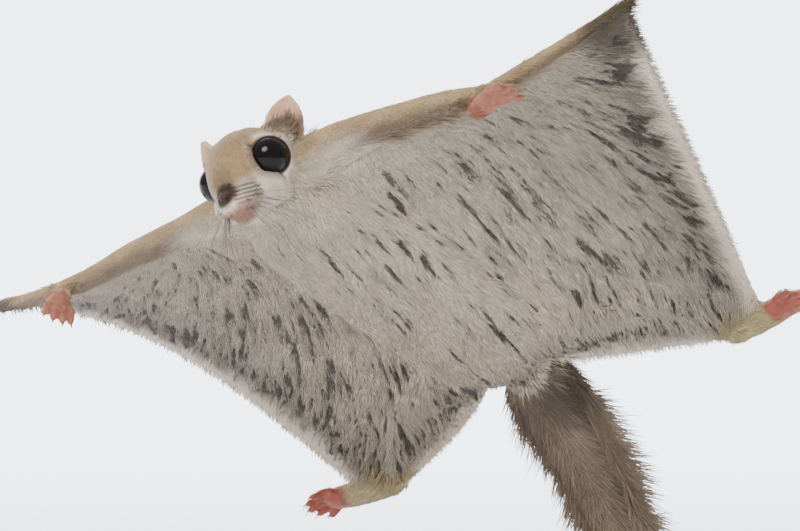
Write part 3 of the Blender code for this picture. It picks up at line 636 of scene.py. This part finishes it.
def node(tree, kind, links=(), **settings):
    """One shader node with its settings, and the sockets it takes from other nodes."""
    made = tree.nodes.new(kind)
    for key, value in settings.items():
        if key in made.inputs:
            made.inputs[key].default_value = value
        else:
            setattr(made, key, value)
    for socket, source in links:
        tree.links.new(source, made.inputs[socket])
    return made


def noise(tree, stretch=None, **settings):
    """Noise through the solid of an object, in its own places, from 0 to 1."""
    place = node(tree, "ShaderNodeTexCoord").outputs["Object"]
    if stretch:
        place = node(tree, "ShaderNodeMapping", [("Vector", place)], Scale=stretch).outputs[0]
    return node(tree, "ShaderNodeTexNoise", [("Vector", place)], **settings).outputs["Fac"]


def tones(tree, factor, first, second, low=0.0, high=1.0):
    """A colour that goes from one tone to another as a factor goes from low to high."""
    ramp = node(tree, "ShaderNodeValToRGB", [("Fac", factor)])
    for end, code, position in zip(ramp.color_ramp.elements, (first, second), (low, high)):
        end.position = position
        end.color = (*pigment(code), 1)
    return ramp.outputs["Color"]


def between(tree, factor, **ends):
    """A factor stretched from one pair of values to another."""
    made = node(tree, "ShaderNodeMapRange", [("Value", factor)])
    for end, value in ends.items():
        made.inputs[end.replace("_", " ").title()].default_value = value
    return made.outputs["Result"]


def finish(name, **values):
    """A new material with values on its shader, its nodes and that shader's sockets."""
    made = bpy.data.materials.new(name)
    made.use_nodes = True
    sockets = made.node_tree.nodes["Principled BSDF"].inputs
    for socket, value in values.items():
        sockets[socket.replace("_", " ")].default_value = value
    return made, made.node_tree, sockets


def hide_material(name, roughness, fine_mm, bump_mm, depth, spread, sheen):
    """Skin or hair: the markings, broken up by fine grain, over a soft matt surface."""
    made, tree, sockets = finish(name, Roughness=roughness, Sheen_Weight=sheen,
                                 Sheen_Roughness=0.5, Specular_IOR_Level=0.25)
    colour = node(tree, "ShaderNodeAttribute", attribute_name="coat").outputs["Color"]
    speck = noise(tree, Scale=1000 / fine_mm, Detail=3.0, Roughness=0.6)
    lightness = between(tree, speck, from_min=0.3, from_max=0.7,
                        to_min=1 - spread, to_max=1 + spread)
    shaded = node(tree, "ShaderNodeVectorMath", [(0, colour), (1, lightness)],
                  operation="MULTIPLY")
    tree.links.new(shaded.outputs["Vector"], sockets["Base Color"])
    pores = noise(tree, Scale=1000 / bump_mm, Detail=4.0, Roughness=0.65)
    relief = node(tree, "ShaderNodeBump", [("Height", pores)], Strength=0.6, Distance=depth)
    tree.links.new(relief.outputs["Normal"], sockets["Normal"])
    return made


def wear(made, colours, finish_material):
    """Put linear colours on a mesh's points, for the coat's materials to read."""
    layer = made.data.color_attributes.new("coat", "FLOAT_COLOR", "POINT")
    full = np.ones((len(colours), 4), np.float32)
    full[:, :3] = np.clip(colours, 0, 1)
    layer.data.foreach_set("color", full.ravel())
    made.data.materials.clear()
    made.data.materials.append(finish_material)


# The lie of the coat
# Hair lies back from the nose over the head, back and a little outward over the trunk and the
# membrane, outward along the limbs, and combed to both sides of the tail.


def arrows(right, forward, outward):
    """Directions, with parts that may be one number for all places."""
    return np.stack(np.broadcast_arrays(right, forward, outward), 1)


def lie_of(body, shares):
    """The way the hair points at each place, in the body's frame, before it meets the skin."""
    x, y = body.T[:2]
    sign = np.sign(x + 1e-6)
    lean = np.interp(x, [-120, -105, -70, -20, 0, 45, 75, 100, 130],
                     [-0.5, -0.4, 0.1, 0.24, 0.2, 0.45, 0.95, 0.8, 0.7])
    lean = lean + 0.22 * fade(-112, -75, y) * fade(-10, 10, x)
    lean = lean + 0.45 * sign * fade(4, 16, edge_gap(body)) * ease(-118, -95, y)
    back = arrows(lean, -1.0, -1.1 * fade(3, 10, front_gap(body)))
    limb, shin, heel = arrows(sign, -0.18, 0), arrows(lean, -1, 0), arrows(sign, -0.3, 0)
    head = to_head(body)
    fan = unit(head - np.array([0, 19.0, -5.0])) + np.array([0, -0.6, 0])
    for eye in EYES.values():
        near = fade(EYE_RADIUS + 0.5, EYE_RADIUS + 4.0, gap(head, eye))
        fan = fan + unit(head - eye) * (0.8 * near)[:, None]
    fan = unit(fan) @ HEAD_TURN.T
    cup = unit(arrows(0.25 * sign, -0.45, 0.85)) @ HEAD_TURN.T
    _, along = tail_bone(along_tail(body))
    comb = along + arrows(np.clip(x / 6.0, -1.2, 1) * 0.95, 0, 0)
    fields = {"torso": back, "membrane": back, "tail_web": shin, "leg": shin, "foot": heel,
              "arm": limb, "hand": limb, "spur": limb, "head": fan, "ear": cup, "tail": comb}
    return unit(sum(unit(field) * share_of(shares, name)[:, None]
                    for name, field in fields.items()))


def streak(body, lie, cell, reach, seed):
    """Random values drawn out along the lie of the coat, as ranks from 0 to 1."""
    steps = 13
    total = 0
    for k in range(steps):
        total = total + grain(body + lie * reach * (k / (steps - 1) - 0.5), cell, seed)
    strays = GRAIN_SPREAD * steps ** -0.5
    return 1 / (1 + np.exp(-1.7 * (total / steps - 0.5) / strays))


def parting(body, facing, shares):
    """Where the pale hair parts over dark wool and painted shadow: how open each place is, and its
    painted shade.
    """
    lie = lie_of(body, shares)
    out = np.abs(body[:, 0])
    rim, front = edge_gap(body), front_gap(body)
    coat = mostly(shares, 1.1, "torso", "membrane", "tail_web", "leg")
    coat = coat * (1 - 0.75 * ease(0.0, 0.4, facing[:, 2]))
    often = ((0.34 + 0.66 * ease(10, 40, out)) * (0.10 + 0.90 * ease(8, 26, front))
             * ease(5, 10, rim))
    band = fade(10, 18, rim) * ease(3.0, 6.0, rim) * ease(3, 14, front)
    band = band * ease(-120, -104, body[:, 1])
    opened = shaded = 0
    for cell, reach, seed, part in ((1.1, 14.0, 3, 0.19 * often + 1e-4),
                                    (0.85, 8.0, 5, 0.36 * band + 1e-4)):
        rank = streak(body, lie, cell, reach, seed) / part
        opened = opened + 1 - ease(0.35, 1.15, rank)
        shaded = shaded + 1 - ease(0.6, 4.2, rank)
    return np.clip(opened, 0, 1) * coat, np.clip(shaded, 0, 1) * coat


def unrolled(body, facing, shares):
    """Where each place lies on the skin when it is unrolled: belly, back, head and tail apart."""
    u = (body[:, 0] + 130) / 260 * 0.5
    v = (body[:, 1] + 150) / 180 * 0.5
    flat = np.stack([u + np.where(facing[:, 2] > 0, 0.5, 0.0), v], 1)
    head = to_head(body)
    around = np.arctan2(head[:, 0], head[:, 2] + 3) / math.tau + 0.5
    cap = np.stack([around * 0.5, 0.55 + (head[:, 1] + 28) / 48 * 0.4], 1)
    round_tail = np.arctan2(facing[:, 2], facing[:, 0]) / math.tau + 0.5
    brush = np.stack([0.52 + round_tail * 0.4, 0.55 + (-body[:, 1] - 100) / 90 * 0.4], 1)
    on_head = share_of(shares, "head", "ear") > 0.5
    on_tail = share_of(shares, "tail") > 0.5
    return np.clip(np.where(on_head[:, None], cap, np.where(on_tail[:, None], brush, flat)),
                   0.003, 0.995)


# Thin leathery skin: pores and creases about a third of a millimetre apart give it a dull grain.
hide = hide_material("thin_hide", 0.62, 1.2, 0.35, 0.0002, 0.12, 0.1)
skin_body = to_body(skin_places)
skin_facing = skin_normals @ BODY_TURN
skin_colours = markings(skin_body, skin_facing, shares)
furred = np.clip(1 - share_of(shares, "hand", "foot", "ear") * 1.5, 0, 1)
skin_head = to_head(skin_body)
furred *= ease(3.0, 6.5, gap(skin_head, [0, 14.5, -6.0]))
furred *= ease(1.0, 2.5, eye_gap(skin_head) - EYE_RADIUS)
skin_colours = blend(skin_colours, skin_colours * 0.60, furred)
# On the skin in the partings, the wool's dark with painted shadow.
skin_colours = blend(skin_colours, PARTING_WOOL_AND_SHADOW * 0.6,
                     parting(skin_body, skin_facing, shares)[0])
wear(skin, skin_colours, hide)
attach(skin, "root")
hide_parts(*[name for name in FLESH if not name.startswith("eye")])


# The eyes
# A glider that flies by night has very large eyes, wet and almost wholly black, with only a hint
# of brown. Each is one smooth ball, deep in its socket, with a narrow dark lid round it.
EYE_SEGMENTS = 48
EYE_RINGS = 32


def ball(name, centre, along):
    """An eyeball in the head's frame, with its pole along a line of sight."""
    bm = bmesh.new()
    bmesh.ops.create_uvsphere(bm, u_segments=EYE_SEGMENTS, v_segments=EYE_RINGS,
                              radius=EYE_RADIUS)
    turn = Vector(along).to_track_quat("Z", "Y").to_matrix()
    for vert in bm.verts:
        vert.co = from_body(from_head(np.array(turn @ vert.co) + centre))
    return placed(name, mesh_of(name, bm))


# Wet cornea: clear and very smooth over a black pupil, so it mirrors the large lamp. Under it
# the iris wanders between black and the darkest brown, in clouds about 3 mm wide.
cornea, tree, sockets = finish("wet_cornea", Roughness=0.16, IOR=1.38, Specular_IOR_Level=0.28,
                               Coat_Weight=0.06, Coat_Roughness=0.03)
iris = tones(tree, noise(tree, Scale=350.0, Detail=2.0), "#050404", "#120c09")
tree.links.new(iris, sockets["Base Color"])
for side, place in EYES.items():
    eye = ball("eyeball_" + side, place, EYE_AIMS[side])
    eye.data.materials.append(cornea)
    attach(eye, "root")
    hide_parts("eye_" + side)


# The lids' rims
# The edge of each lid is a thin bare roll of dark skin that lies close on the eyeball, all the
# way round it. It is flatter than it is wide, as a lid's edge is.
RIM_STEPS = 64
RIM_SIDES = 8
RIM_THICK = 0.42
RIM_WIDE = 0.75


def gathered(name, bm, finish_material):
    """One smooth piece from a mesh, riding on the model."""
    bmesh.ops.recalc_face_normals(bm, faces=bm.faces)
    made = placed(name, mesh_of(name, bm))
    made.data.materials.append(finish_material)
    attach(made, "root")


def speckled(name, first, second, roughness, scale_mm):
    """A plain finish whose colour wanders between two near tones."""
    made, tree, sockets = finish(name, Roughness=roughness)
    mottle = noise(tree, Scale=1000 / scale_mm, Detail=3.0)
    tree.links.new(tones(tree, mottle, first, second, 0.35, 0.65), sockets["Base Color"])
    return made


# Bare lid skin: fine-creased and moist, so it has a low shine.
lid_skin = speckled("bare_lid_skin", "#1d130e", "#33231b", 0.45, 0.6)
tilt = math.radians(LID_ANGLE)
for side, place in EYES.items():
    bm = bmesh.new()
    aim = EYE_AIMS[side]
    first = unit(np.cross(aim, [0, 0, 1.0]))
    second = np.cross(aim, first)
    grid = []
    for turn in np.linspace(0, math.tau, RIM_STEPS + 1)[:-1]:
        outward = first * math.cos(turn) + second * math.sin(turn)
        radial = aim * math.cos(tilt) + outward * math.sin(tilt)
        beside = outward * math.cos(tilt) - aim * math.sin(tilt)
        spot = place + radial * (EYE_RADIUS + 0.12)
        grid.append([])
        for k in range(RIM_SIDES):
            c, s = math.cos(k * math.tau / RIM_SIDES), math.sin(k * math.tau / RIM_SIDES)
            edge = spot + radial * RIM_THICK * c + beside * RIM_WIDE * s
            grid[-1].append(bm.verts.new(from_body(from_head(edge))))
    for k in range(RIM_STEPS):
        here, ahead = grid[k], grid[(k + 1) % RIM_STEPS]
        for j in range(RIM_SIDES):
            m = (j + 1) % RIM_SIDES
            bm.faces.new((here[j], ahead[j], ahead[m], here[m]))
    gathered("lid_rim_" + side, bm, lid_skin)


# The claws
# Each finger and toe ends in a small hooked claw of brown horn. The fingers and toes are in the
# skin, and each claw goes on from its tip.
CLAW_LENGTH = 2.9
CLAW_RADIUS = 0.66


def tapered(bm, line, radii, sides):
    """A closed round rod through a line of points, with a radius at each."""
    rings = []
    for k, (spot, radius) in enumerate(zip(line, radii)):
        along = unit(line[min(k + 1, len(line) - 1)] - line[max(k - 1, 0)])
        across = unit(np.cross(along, [0.31, 0.22, 0.93]))
        other = np.cross(along, across)
        turn = np.arange(sides) * math.tau / sides
        ring = spot + (np.outer(np.cos(turn), across) + np.outer(np.sin(turn), other)) * radius
        rings.append([bm.verts.new(p) for p in from_body(ring)])
    close_rod(bm, rings)


def paw_frame(name, turn):
    """Columns across, along and out of the back of a hand or foot."""
    _, forward = PAWS[name]
    sign = 1 if name.endswith("right") else -1
    angle = math.radians(turn) * sign
    back = np.array([math.sin(angle), 0, math.cos(angle)])
    if abs(forward @ back) > 0.8:
        back = np.array([0, 1.0, 0])
    across = unit(np.cross(forward, back))
    return np.stack([across, forward, np.cross(across, forward)], 1)


# Claw horn: a plain satin brown, mottled with a paler one.
horn = speckled("claw_horn", "#5a4434", "#8f7660", 0.35, 1.5)
for kind, turn, lengths, pitch, start, fan in (
        ("hand", -20, (5.2, 6.6, 6.8, 5.8), 2.2, 6.2, 8),
        ("foot", -12, (6.2, 8.4, 9.0, 8.6, 6.8), 2.15, 22.0, 9)):
    middle = (len(lengths) - 1) / 2
    for name in (kind + "_left", kind + "_right"):
        bm = bmesh.new()
        frame_of_paw = paw_frame(name, turn)
        for k, length in enumerate(lengths):
            drop_back = 0.9 * abs(k - 2) if kind == "foot" else 0
            root = np.array([(k - middle) * pitch, start - drop_back, -0.3])
            splay = math.radians(fan * (k - middle))
            aim = np.array([math.sin(splay), math.cos(splay), 0])
            run = np.linspace(0, 1, 6)
            line = root + np.outer(length * 0.88 + CLAW_LENGTH * run, aim)
            line[:, 2] += -0.55 - 1.2 * run ** 2 + 0.25 * np.sin(math.pi * run)
            tapered(bm, line @ frame_of_paw.T + PAWS[name][0],
                    CLAW_RADIUS * (1 - run ** 1.6) + 0.05, 7)
        gathered("claws_" + name, bm, horn)


# The whiskers
# Long tapering bristles stand out in rows from the whisker pads, with a few over each eye.
# Whisker: one stiff hair with a low shine, dark brown with paler stretches.
bristle = speckled("whisker_hair", "#33291f", "#8c7d6b", 0.4, 4.0)
draw = np.random.default_rng(31)
bm = bmesh.new()
for sign in (-1, 1):
    for row in range(4):
        for k in range(3 + (row > 0)):
            root = np.array([sign * (3.6 + 0.8 * k), 12.6 - 1.7 * k, -6.4 - 1.1 * row])
            aim = unit(np.array([sign * (0.80 - 0.05 * row), 0.34 - 0.30 * k, -0.42 - 0.16 * row])
                       + draw.normal(0, 0.07, 3))
            long = draw.uniform(0.8, 1.15) * (15 + 5 * k)
            run = np.linspace(0, 1, 9)
            line = root + np.outer(run * long, aim)
            line[:, 2] -= 0.10 * long * run ** 2
            line[:, 1] -= 0.12 * long * run ** 2
            tapered(bm, from_head(line), 0.11 * (1 - run ** 1.5) + 0.015, 4)
    for k in range(3):
        root = np.array([sign * (6.2 + 0.7 * k), -0.5 - 1.6 * k, 6.2 + 0.2 * k])
        aim = unit(np.array([sign * 0.45, 0.1 - 0.2 * k, 0.85]) + draw.normal(0, 0.06, 3))
        run = np.linspace(0, 1, 6)
        tapered(bm, from_head(root + np.outer(run * (8 + k), aim)), 0.07 * (1 - run) + 0.012, 4)
gathered("whiskers", bm, bristle)


# The fur
# Every tuft is a few hairs that cling together: a thin closed spindle, rooted in the skin,
# thickest part of the way up, that bends over along the lie and ends in a point.
# Fur: dry keratin, so it is matt, with a little sheen where light rakes over it.
fur = hide_material("dry_fur", 0.85, 0.9, 0.5, 0.00005, 0.10, 0.12)
# In metres, how deep a tuft is rooted, and how far ahead and above the skin's slope is looked
# for. The patch is the width of a tuft's own place on the unrolled skin.
ROOT_DEPTH = 0.0003
LOOK_AHEAD = 0.005
LOOK_ABOVE = 0.006
LOOK_DOWN = 0.010
STEEPEST_FALL = -0.25
STEEPEST_RISE = 0.8
UV_PATCH = 0.003
triangles = np.array([t.vertices for t in skin.data.polygons])
corner = skin_places[triangles]
areas = np.linalg.norm(np.cross(corner[:, 1] - corner[:, 0], corner[:, 2] - corner[:, 0]),
                       axis=1) / 2 * 1e6
middles = to_body(corner.mean(1))
middle_shares = shares[triangles].mean(1)
middle_facing = unit(skin_facing[triangles].mean(1))


def slopes():
    """How steeply the skin rises, or falls, just ahead of each of its points."""
    ahead = lie_of(skin_body, shares) @ BODY_TURN.T
    ahead = unit(ahead - skin_normals * (ahead * skin_normals).sum(1)[:, None])
    starts = skin_places + ahead * LOOK_AHEAD + skin_normals * LOOK_ABOVE
    tree = BVHTree.FromPolygons(skin_places.tolist(), triangles.tolist())
    found = np.full(len(starts), STEEPEST_FALL)
    for k, (start, down) in enumerate(zip(starts.tolist(), (-skin_normals).tolist())):
        hit = tree.ray_cast(start, down, LOOK_DOWN)
        if hit[0] is not None:
            found[k] = (LOOK_ABOVE - hit[3]) / LOOK_AHEAD
    found = np.clip(found, STEEPEST_FALL, STEEPEST_RISE)
    return averaged(skin.data, found[:, None], 3)[:, 0]


slope = slopes()


def roots(density, seed):
    """Rooting places spread over the skin, so many to the square millimetre of each triangle."""
    draw = np.random.default_rng(seed)
    load = np.cumsum(areas * (density + 1e-9))
    count = int(load[-1])
    spots = (np.arange(count) + draw.random(count)) / count * load[-1]
    chosen = np.minimum(np.searchsorted(load, spots), len(triangles) - 1)
    a, b = draw.random((2, count))
    flip = a + b > 1
    a[flip], b[flip] = 1 - a[flip], 1 - b[flip]
    weights = np.stack([1 - a - b, a, b], 1)[:, :, None]
    index = triangles[chosen]
    place = (skin_places[index] * weights).sum(1)
    return {
        "place": place,
        "body": to_body(place),
        "normal": unit((skin_normals[index] * weights).sum(1)),
        "shares": (shares[index] * weights).sum(1),
        "slope": (slope[index] * weights[:, :, 0]).sum(1),
        "draw": draw,
    }


def grow(name, spots, length, width, lift, curl=0.42, rings=1, sway=8.0, slits=0.0,
         wool=0.5, vary=(0.78, 1.15), tone=0.05):
    """One mesh of tufts: lengths and widths in millimetres, lift in degrees off the skin."""
    place, body, normal, mix, rising, draw = spots.values()
    count = len(place)
    facing = normal @ BODY_TURN
    lie = lie_of(body, mix) @ BODY_TURN.T
    lie = unit(lie - normal * (lie * normal).sum(1)[:, None])
    side = np.cross(normal, lie)
    turn = np.radians(draw.normal(0, sway, count) + 8 * wander(body, 6.0, 21))
    lie, side = (lie * np.cos(turn)[:, None] + side * np.sin(turn)[:, None],
                 side * np.cos(turn)[:, None] - lie * np.sin(turn)[:, None])
    length = length * draw.uniform(*vary, count)
    width = width * draw.uniform(0.8, 1.2, count) / 1000
    rise = np.radians(lift * draw.uniform(0.6, 1.4, count))
    follow = np.where(rising > 0, 1.0, 0.45) * rising
    base = markings(body, facing, mix) * (1 + draw.normal(0, tone, count))[:, None]
    # In and beside the partings: tufts rooted in a parting are shorter and take the wool's dark
    # with painted shadow, and tufts beside them are darkened by painted shade.
    if slits:
        opened, shaded = (v * slits for v in parting(body, facing, mix))
        heading = lie @ BODY_TURN
        for t, kept in ((1.0, 0.82), (0.7, 0.58), (0.42, 0.36)):
            crossed = parting(body + heading * (length * t)[:, None], facing, mix)[0] * slits
            length = length * (1 + (kept - 1) * ease(0.3, 0.6, crossed) * (1 - opened))
        length = length * (1 - 0.5 * opened)
        base = blend(base * (1 - 0.36 * shaded)[:, None], PARTING_WOOL_AND_SHADOW, 0.9 * opened)
    length = length / 1000
    reach = lie * np.cos(rise)[:, None] + normal * (np.sin(rise) + follow)[:, None]
    deep = blend(base, base * 0.35 + WOOL_GREY * 0.35, wool * np.ones(count))
    stations = {1: (0.0, 0.40, 1.0), 2: (0.0, 0.30, 0.70, 1.0)}[rings]
    across = {1: (0, 1.0, 0), 2: (0, 1.0, 0.75, 0)}[rings]
    points, colours, uv_across = [], [], []
    for t, wide in zip(stations, across):
        bend = -curl * np.sin(rise) * t * t
        centre = (place - normal * ROOT_DEPTH
                  + (reach * t + normal * bend[:, None]) * length[:, None])
        colour = deep + (base - deep) * ease(0.0, 0.45, t)
        for angle in ((0,) if wide == 0 else (90, 210, 330)):
            c, s = math.cos(math.radians(angle)), math.sin(math.radians(angle))
            spread = (side * c + normal * s * 0.6) * (width / 2 * wide)[:, None]
            points.append(centre + (spread if wide else 0))
            colours.append(colour)
            uv_across.append((0.5 + 0.5 * c * (wide > 0), t))
    per = len(points)
    faces = [(0, 2, 1), (0, 3, 2), (0, 1, 3)]
    for ring in range(rings - 1):
        first = 1 + 3 * ring
        for k in range(3):
            n = (k + 1) % 3
            faces.append((first + k, first + n, first + 3 + n))
            faces.append((first + k, first + 3 + n, first + 3 + k))
    first = 1 + 3 * (rings - 1)
    faces += [(first + k, first + (k + 1) % 3, per - 1) for k in range(3)]
    index = (np.arange(count)[:, None, None] * per + np.array(faces)).reshape(-1)
    mesh = bpy.data.meshes.new(name)
    mesh.vertices.add(count * per)
    mesh.vertices.foreach_set("co", np.stack(points, 1).astype(np.float32).ravel())
    mesh.loops.add(len(index))
    mesh.loops.foreach_set("vertex_index", index.astype(np.int32))
    mesh.polygons.add(len(index) // 3)
    mesh.polygons.foreach_set("loop_start", np.arange(0, len(index), 3, dtype=np.int32))
    mesh.update(calc_edges=True)
    mesh.shade_smooth()
    made = placed(name, mesh)
    wear(made, np.stack(colours, 1).reshape(-1, 3), fur)
    laid = unrolled(body, facing, mix)[:, None, :] + (np.array(uv_across) * UV_PATCH)[None]
    layer = mesh.uv_layers.new(name="OFBake")
    layer.data.foreach_set("uv", laid.reshape(-1, 2)[index].astype(np.float32).ravel())
    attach(made, "root")


def strip(low, high):
    """Which of the skin's triangles lie between two distances to the animal's right."""
    return (middles[:, 0] >= low) & (middles[:, 0] < high)


trunk_share = share_of(middle_shares, "torso", "membrane", "tail_web", "leg")
head_share = share_of(middle_shares, "head")
ear_share = share_of(middle_shares, "ear")
arm_share = share_of(middle_shares, "arm", "spur")
tail_share = share_of(middle_shares, "tail")
rump = tail_share * fade(107, 112, -middles[:, 1])
trunk_share, tail_share = trunk_share + rump, tail_share - rump
underside = middle_facing[:, 2] < 0.05

# Belly and the under side of the membrane: soft, dense, pale hair about 6 mm long.
for k, (low, high) in enumerate(((-200, -62), (-62, -22), (-22, 20), (20, 62), (62, 200))):
    spots = roots(trunk_share * underside * strip(low, high) * 3.4, 20 + k)
    inside = ease(3, 12, edge_gap(spots["body"]))
    grow("belly_fur_%d" % (k + 1), spots, 3.6 + 2.6 * inside, 0.30 + 0.14 * inside, 14.0,
         slits=1.0)

# Back and the upper side of the membrane: sleek grey-brown hair.
for k, (low, high) in enumerate(((-200, 0), (0, 200))):
    spots = roots(trunk_share * ~underside * strip(low, high) * 1.7, 30 + k)
    reach = 6.2 - 2.6 * fade(3, 12, edge_gap(spots["body"]))
    grow("back_fur_%d" % (k + 1), spots, reach, 0.58, 13.0, slits=0.6, tone=0.08)

# Head and cheeks: short, fine and close, longer behind the jaw, none on nose, lips and lids.
middle_head = to_head(middles)
haired = ease(2.6, 4.4, gap((middle_head - [0, 15.0, -6.0]) * [1, 1, 0.8], 0))
haired *= ease(0.55, 1.1, eye_gap(middle_head) - EYE_RADIUS)
spots = roots(head_share * haired * 8.0, 40)
spot_head = to_head(spots["body"])
reach = 1.7 + 2.6 * ease(-8, 14, -spot_head[:, 1])
reach = reach * (0.4 + 0.6 * ease(0.6, 4.0, eye_gap(spot_head) - EYE_RADIUS))
grow("head_fur", spots, reach, 0.25, 14.0, sway=10.0, wool=0.35)

# Ears: a sparse down, short enough for the skin to show.
spots = roots(ear_share * 3.0, 41)
grow("ear_fur", spots, 1.1, 0.17, 16.0, wool=0.3)

# A soft tuft behind each ear.
behind = np.minimum(*(gap(middle_head, [sign * 14.5, -15.0, 2.0]) for sign in (-1, 1)))
spots = roots(fade(3.0, 5.5, behind) * (1 - np.clip(ear_share * 3, 0, 1)) * 4.0, 42)
grow("ear_tufts", spots, 6.5, 0.30, 32.0, sway=14.0)

# Arms and wrist spurs: short hair laid outward along the limb.
spots = roots(arm_share * 4.2, 50)
reach = 3.0 + 2.2 * fade(6, 16, tip_gap(spots["body"]))
grow("limb_fur", spots, reach, 0.34, 12.0, tone=0.09)

# Hands and feet: a thin cover of the finest hair on wrists, heels and the backs of the toes.
heel = np.zeros(len(middles))
for name in PAWS:
    near = share_of(middle_shares, "hand", "foot") * (gap(middles, PAWS[name][0]) < PAW_REACH)
    end = {"hand_left": -1, "hand_right": 2, "foot_left": 15, "foot_right": 15}[name]
    heel = np.maximum(heel, near * fade(end - 3, end + 2, reach_along(middles, name)))
    heel = np.maximum(heel, near * 0.5 * ease(0.2, 0.6, middle_facing[:, 2]))
spots = roots(heel * 4.5, 60)
grow("paw_fur", spots, 3.2, 0.30, 18.0, tone=0.10)

# The tail's brush: long hair combed out flat to both sides, over short hair on the bone.
for k, sign in enumerate((-1, 1)):
    flank = sign * (middles[:, 0] + 0.5) > 0
    spots = roots(tail_share * flank * 5.2, 70 + k)
    where = along_tail(spots["body"])
    beside = np.clip(np.abs(spots["body"][:, 0] + 0.5) / 8, 0, 1)
    reach = (10 + (13.5 if sign < 0 else 11) * beside) * (0.66 + 0.34 * ease(0, 0.2, where))
    reach = reach - 3 * ease(0.85, 1.0, where)
    grow("tail_brush_%d" % (k + 1), spots, reach, 0.42, 15.0, rings=2, curl=0.5,
         sway=9.0, vary=(0.55, 1.0), tone=0.10, wool=0.6)


# The base
# A plain museum base: one walnut board, sanded and oiled, with its upper edge eased. Its form is
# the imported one.


def dress(name, finish_material):
    """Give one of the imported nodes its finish."""
    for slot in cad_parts[name].material_slots:
        slot.material = finish_material


# Oiled walnut: dark brown and satin, with fine pores and a long grain along the board, in
# streaks about 7 mm wide and 100 mm long.
walnut, tree, sockets = finish("oiled_walnut", Roughness=0.42)
timber = noise(tree, (6.0, 90.0, 90.0), Scale=1.6, Detail=6.0, Roughness=0.62, Distortion=0.6)
tree.links.new(tones(tree, timber, "#3b2416", "#7a5236", 0.30, 0.72), sockets["Base Color"])
pore = node(tree, "ShaderNodeBump", [("Height", timber)], Strength=0.25, Distance=0.0003)
tree.links.new(pore.outputs["Normal"], sockets["Normal"])
dress("stand_base", walnut)


# The rod
# A bent mild-steel rod, brushed along its length, in a turned collar that is screwed down. Its
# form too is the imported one.
# Brushed steel: a bright grey metal with fine scratches that spread its shine.
steel, tree, sockets = finish("brushed_steel", Metallic=1.0)
scratch = noise(tree, (1500.0, 1500.0, 60.0), Scale=1.0, Detail=3.0)
tree.links.new(between(tree, scratch, to_min=0.24, to_max=0.42), sockets["Roughness"])
tree.links.new(tones(tree, scratch, "#a9a8a5", "#c9c8c5"), sockets["Base Color"])
dress("stand_rod", steel)


# The studio
# A pale floor that curves up into a plain backdrop, one large soft lamp high on the left, a
# fill from the right, a low one that stands for light thrown up by snow, two on the backdrop
# and an even pale sky. Only the large lamp shows in the eyes.
FLOOR_REACH = 7.0
BEND_START = 4.2
BEND_RADIUS = 1.0
BACKDROP_TOP = 5.0
studio = bmesh.new()
run = [(-FLOOR_REACH, 0.0), (BEND_START, 0.0)]
run += [(BEND_START + BEND_RADIUS * math.sin(a), BEND_RADIUS - BEND_RADIUS * math.cos(a))
        for a in np.linspace(0.1, math.pi / 2, 14)]
run += [(BEND_START + BEND_RADIUS, BACKDROP_TOP)]
sides = [[studio.verts.new((x, y, z)) for y, z in run] for x in (-FLOOR_REACH, FLOOR_REACH)]
for k in range(len(run) - 1):
    studio.faces.new((sides[0][k], sides[1][k], sides[1][k + 1], sides[0][k + 1]))
floor = placed("studio_floor", mesh_of("studio_floor", studio))
# Background paper: pale, cool and quite matt.
paper, _, _ = finish("studio_paper", Base_Color=(*pigment("#e3e7ee"), 1), Roughness=0.9)
floor.data.materials.append(paper)

sky = bpy.data.worlds.new("studio_sky")
sky.use_nodes = True
sky.node_tree.nodes["Background"].inputs["Color"].default_value = (*pigment("#eef2f8"), 1)
sky.node_tree.nodes["Background"].inputs["Strength"].default_value = 0.75
bpy.context.scene.world = sky

ANIMAL = (-0.03, -0.03, 0.17)
for name, place, target, size, power in (
        ("key_lamp", (-1.0, -1.3, 1.7), ANIMAL, 1.1, 48),
        ("fill_lamp", (1.5, -1.3, 0.5), ANIMAL, 1.4, 14),
        ("snow_lamp", (-0.3, -1.2, 0.03), ANIMAL, 0.9, 7),
        ("backdrop_lamp_left", (-2.4, 2.6, 3.4), (0.4, 5.1, 0.5), 1.4, 520),
        ("backdrop_lamp_right", (2.4, 2.6, 3.4), (-0.4, 5.1, 0.5), 1.4, 520)):
    light = bpy.data.lights.new(name, "AREA")
    light.shape = "DISK"
    light.size = size
    light.energy = power
    lamp = placed(name, light)
    lamp.location = place
    lamp.rotation_euler = (Vector(target) - Vector(place)).to_track_quat("-Z", "Y").to_euler()
    lamp.visible_glossy = name == "key_lamp"


# The camera
# A long lens, level, low in front of the animal, as the photograph was taken.
view = bpy.data.cameras.new("camera")
view.lens = 236.2
view.sensor_width = 36.0
view.sensor_fit = "HORIZONTAL"
view.clip_start = 0.05
view.clip_end = 30
camera = placed("camera", view)
camera.location = (-0.03357, -1.666, 0.1701)
camera.rotation_euler = (math.radians(90), 0, 0)
bpy.context.scene.camera = camera
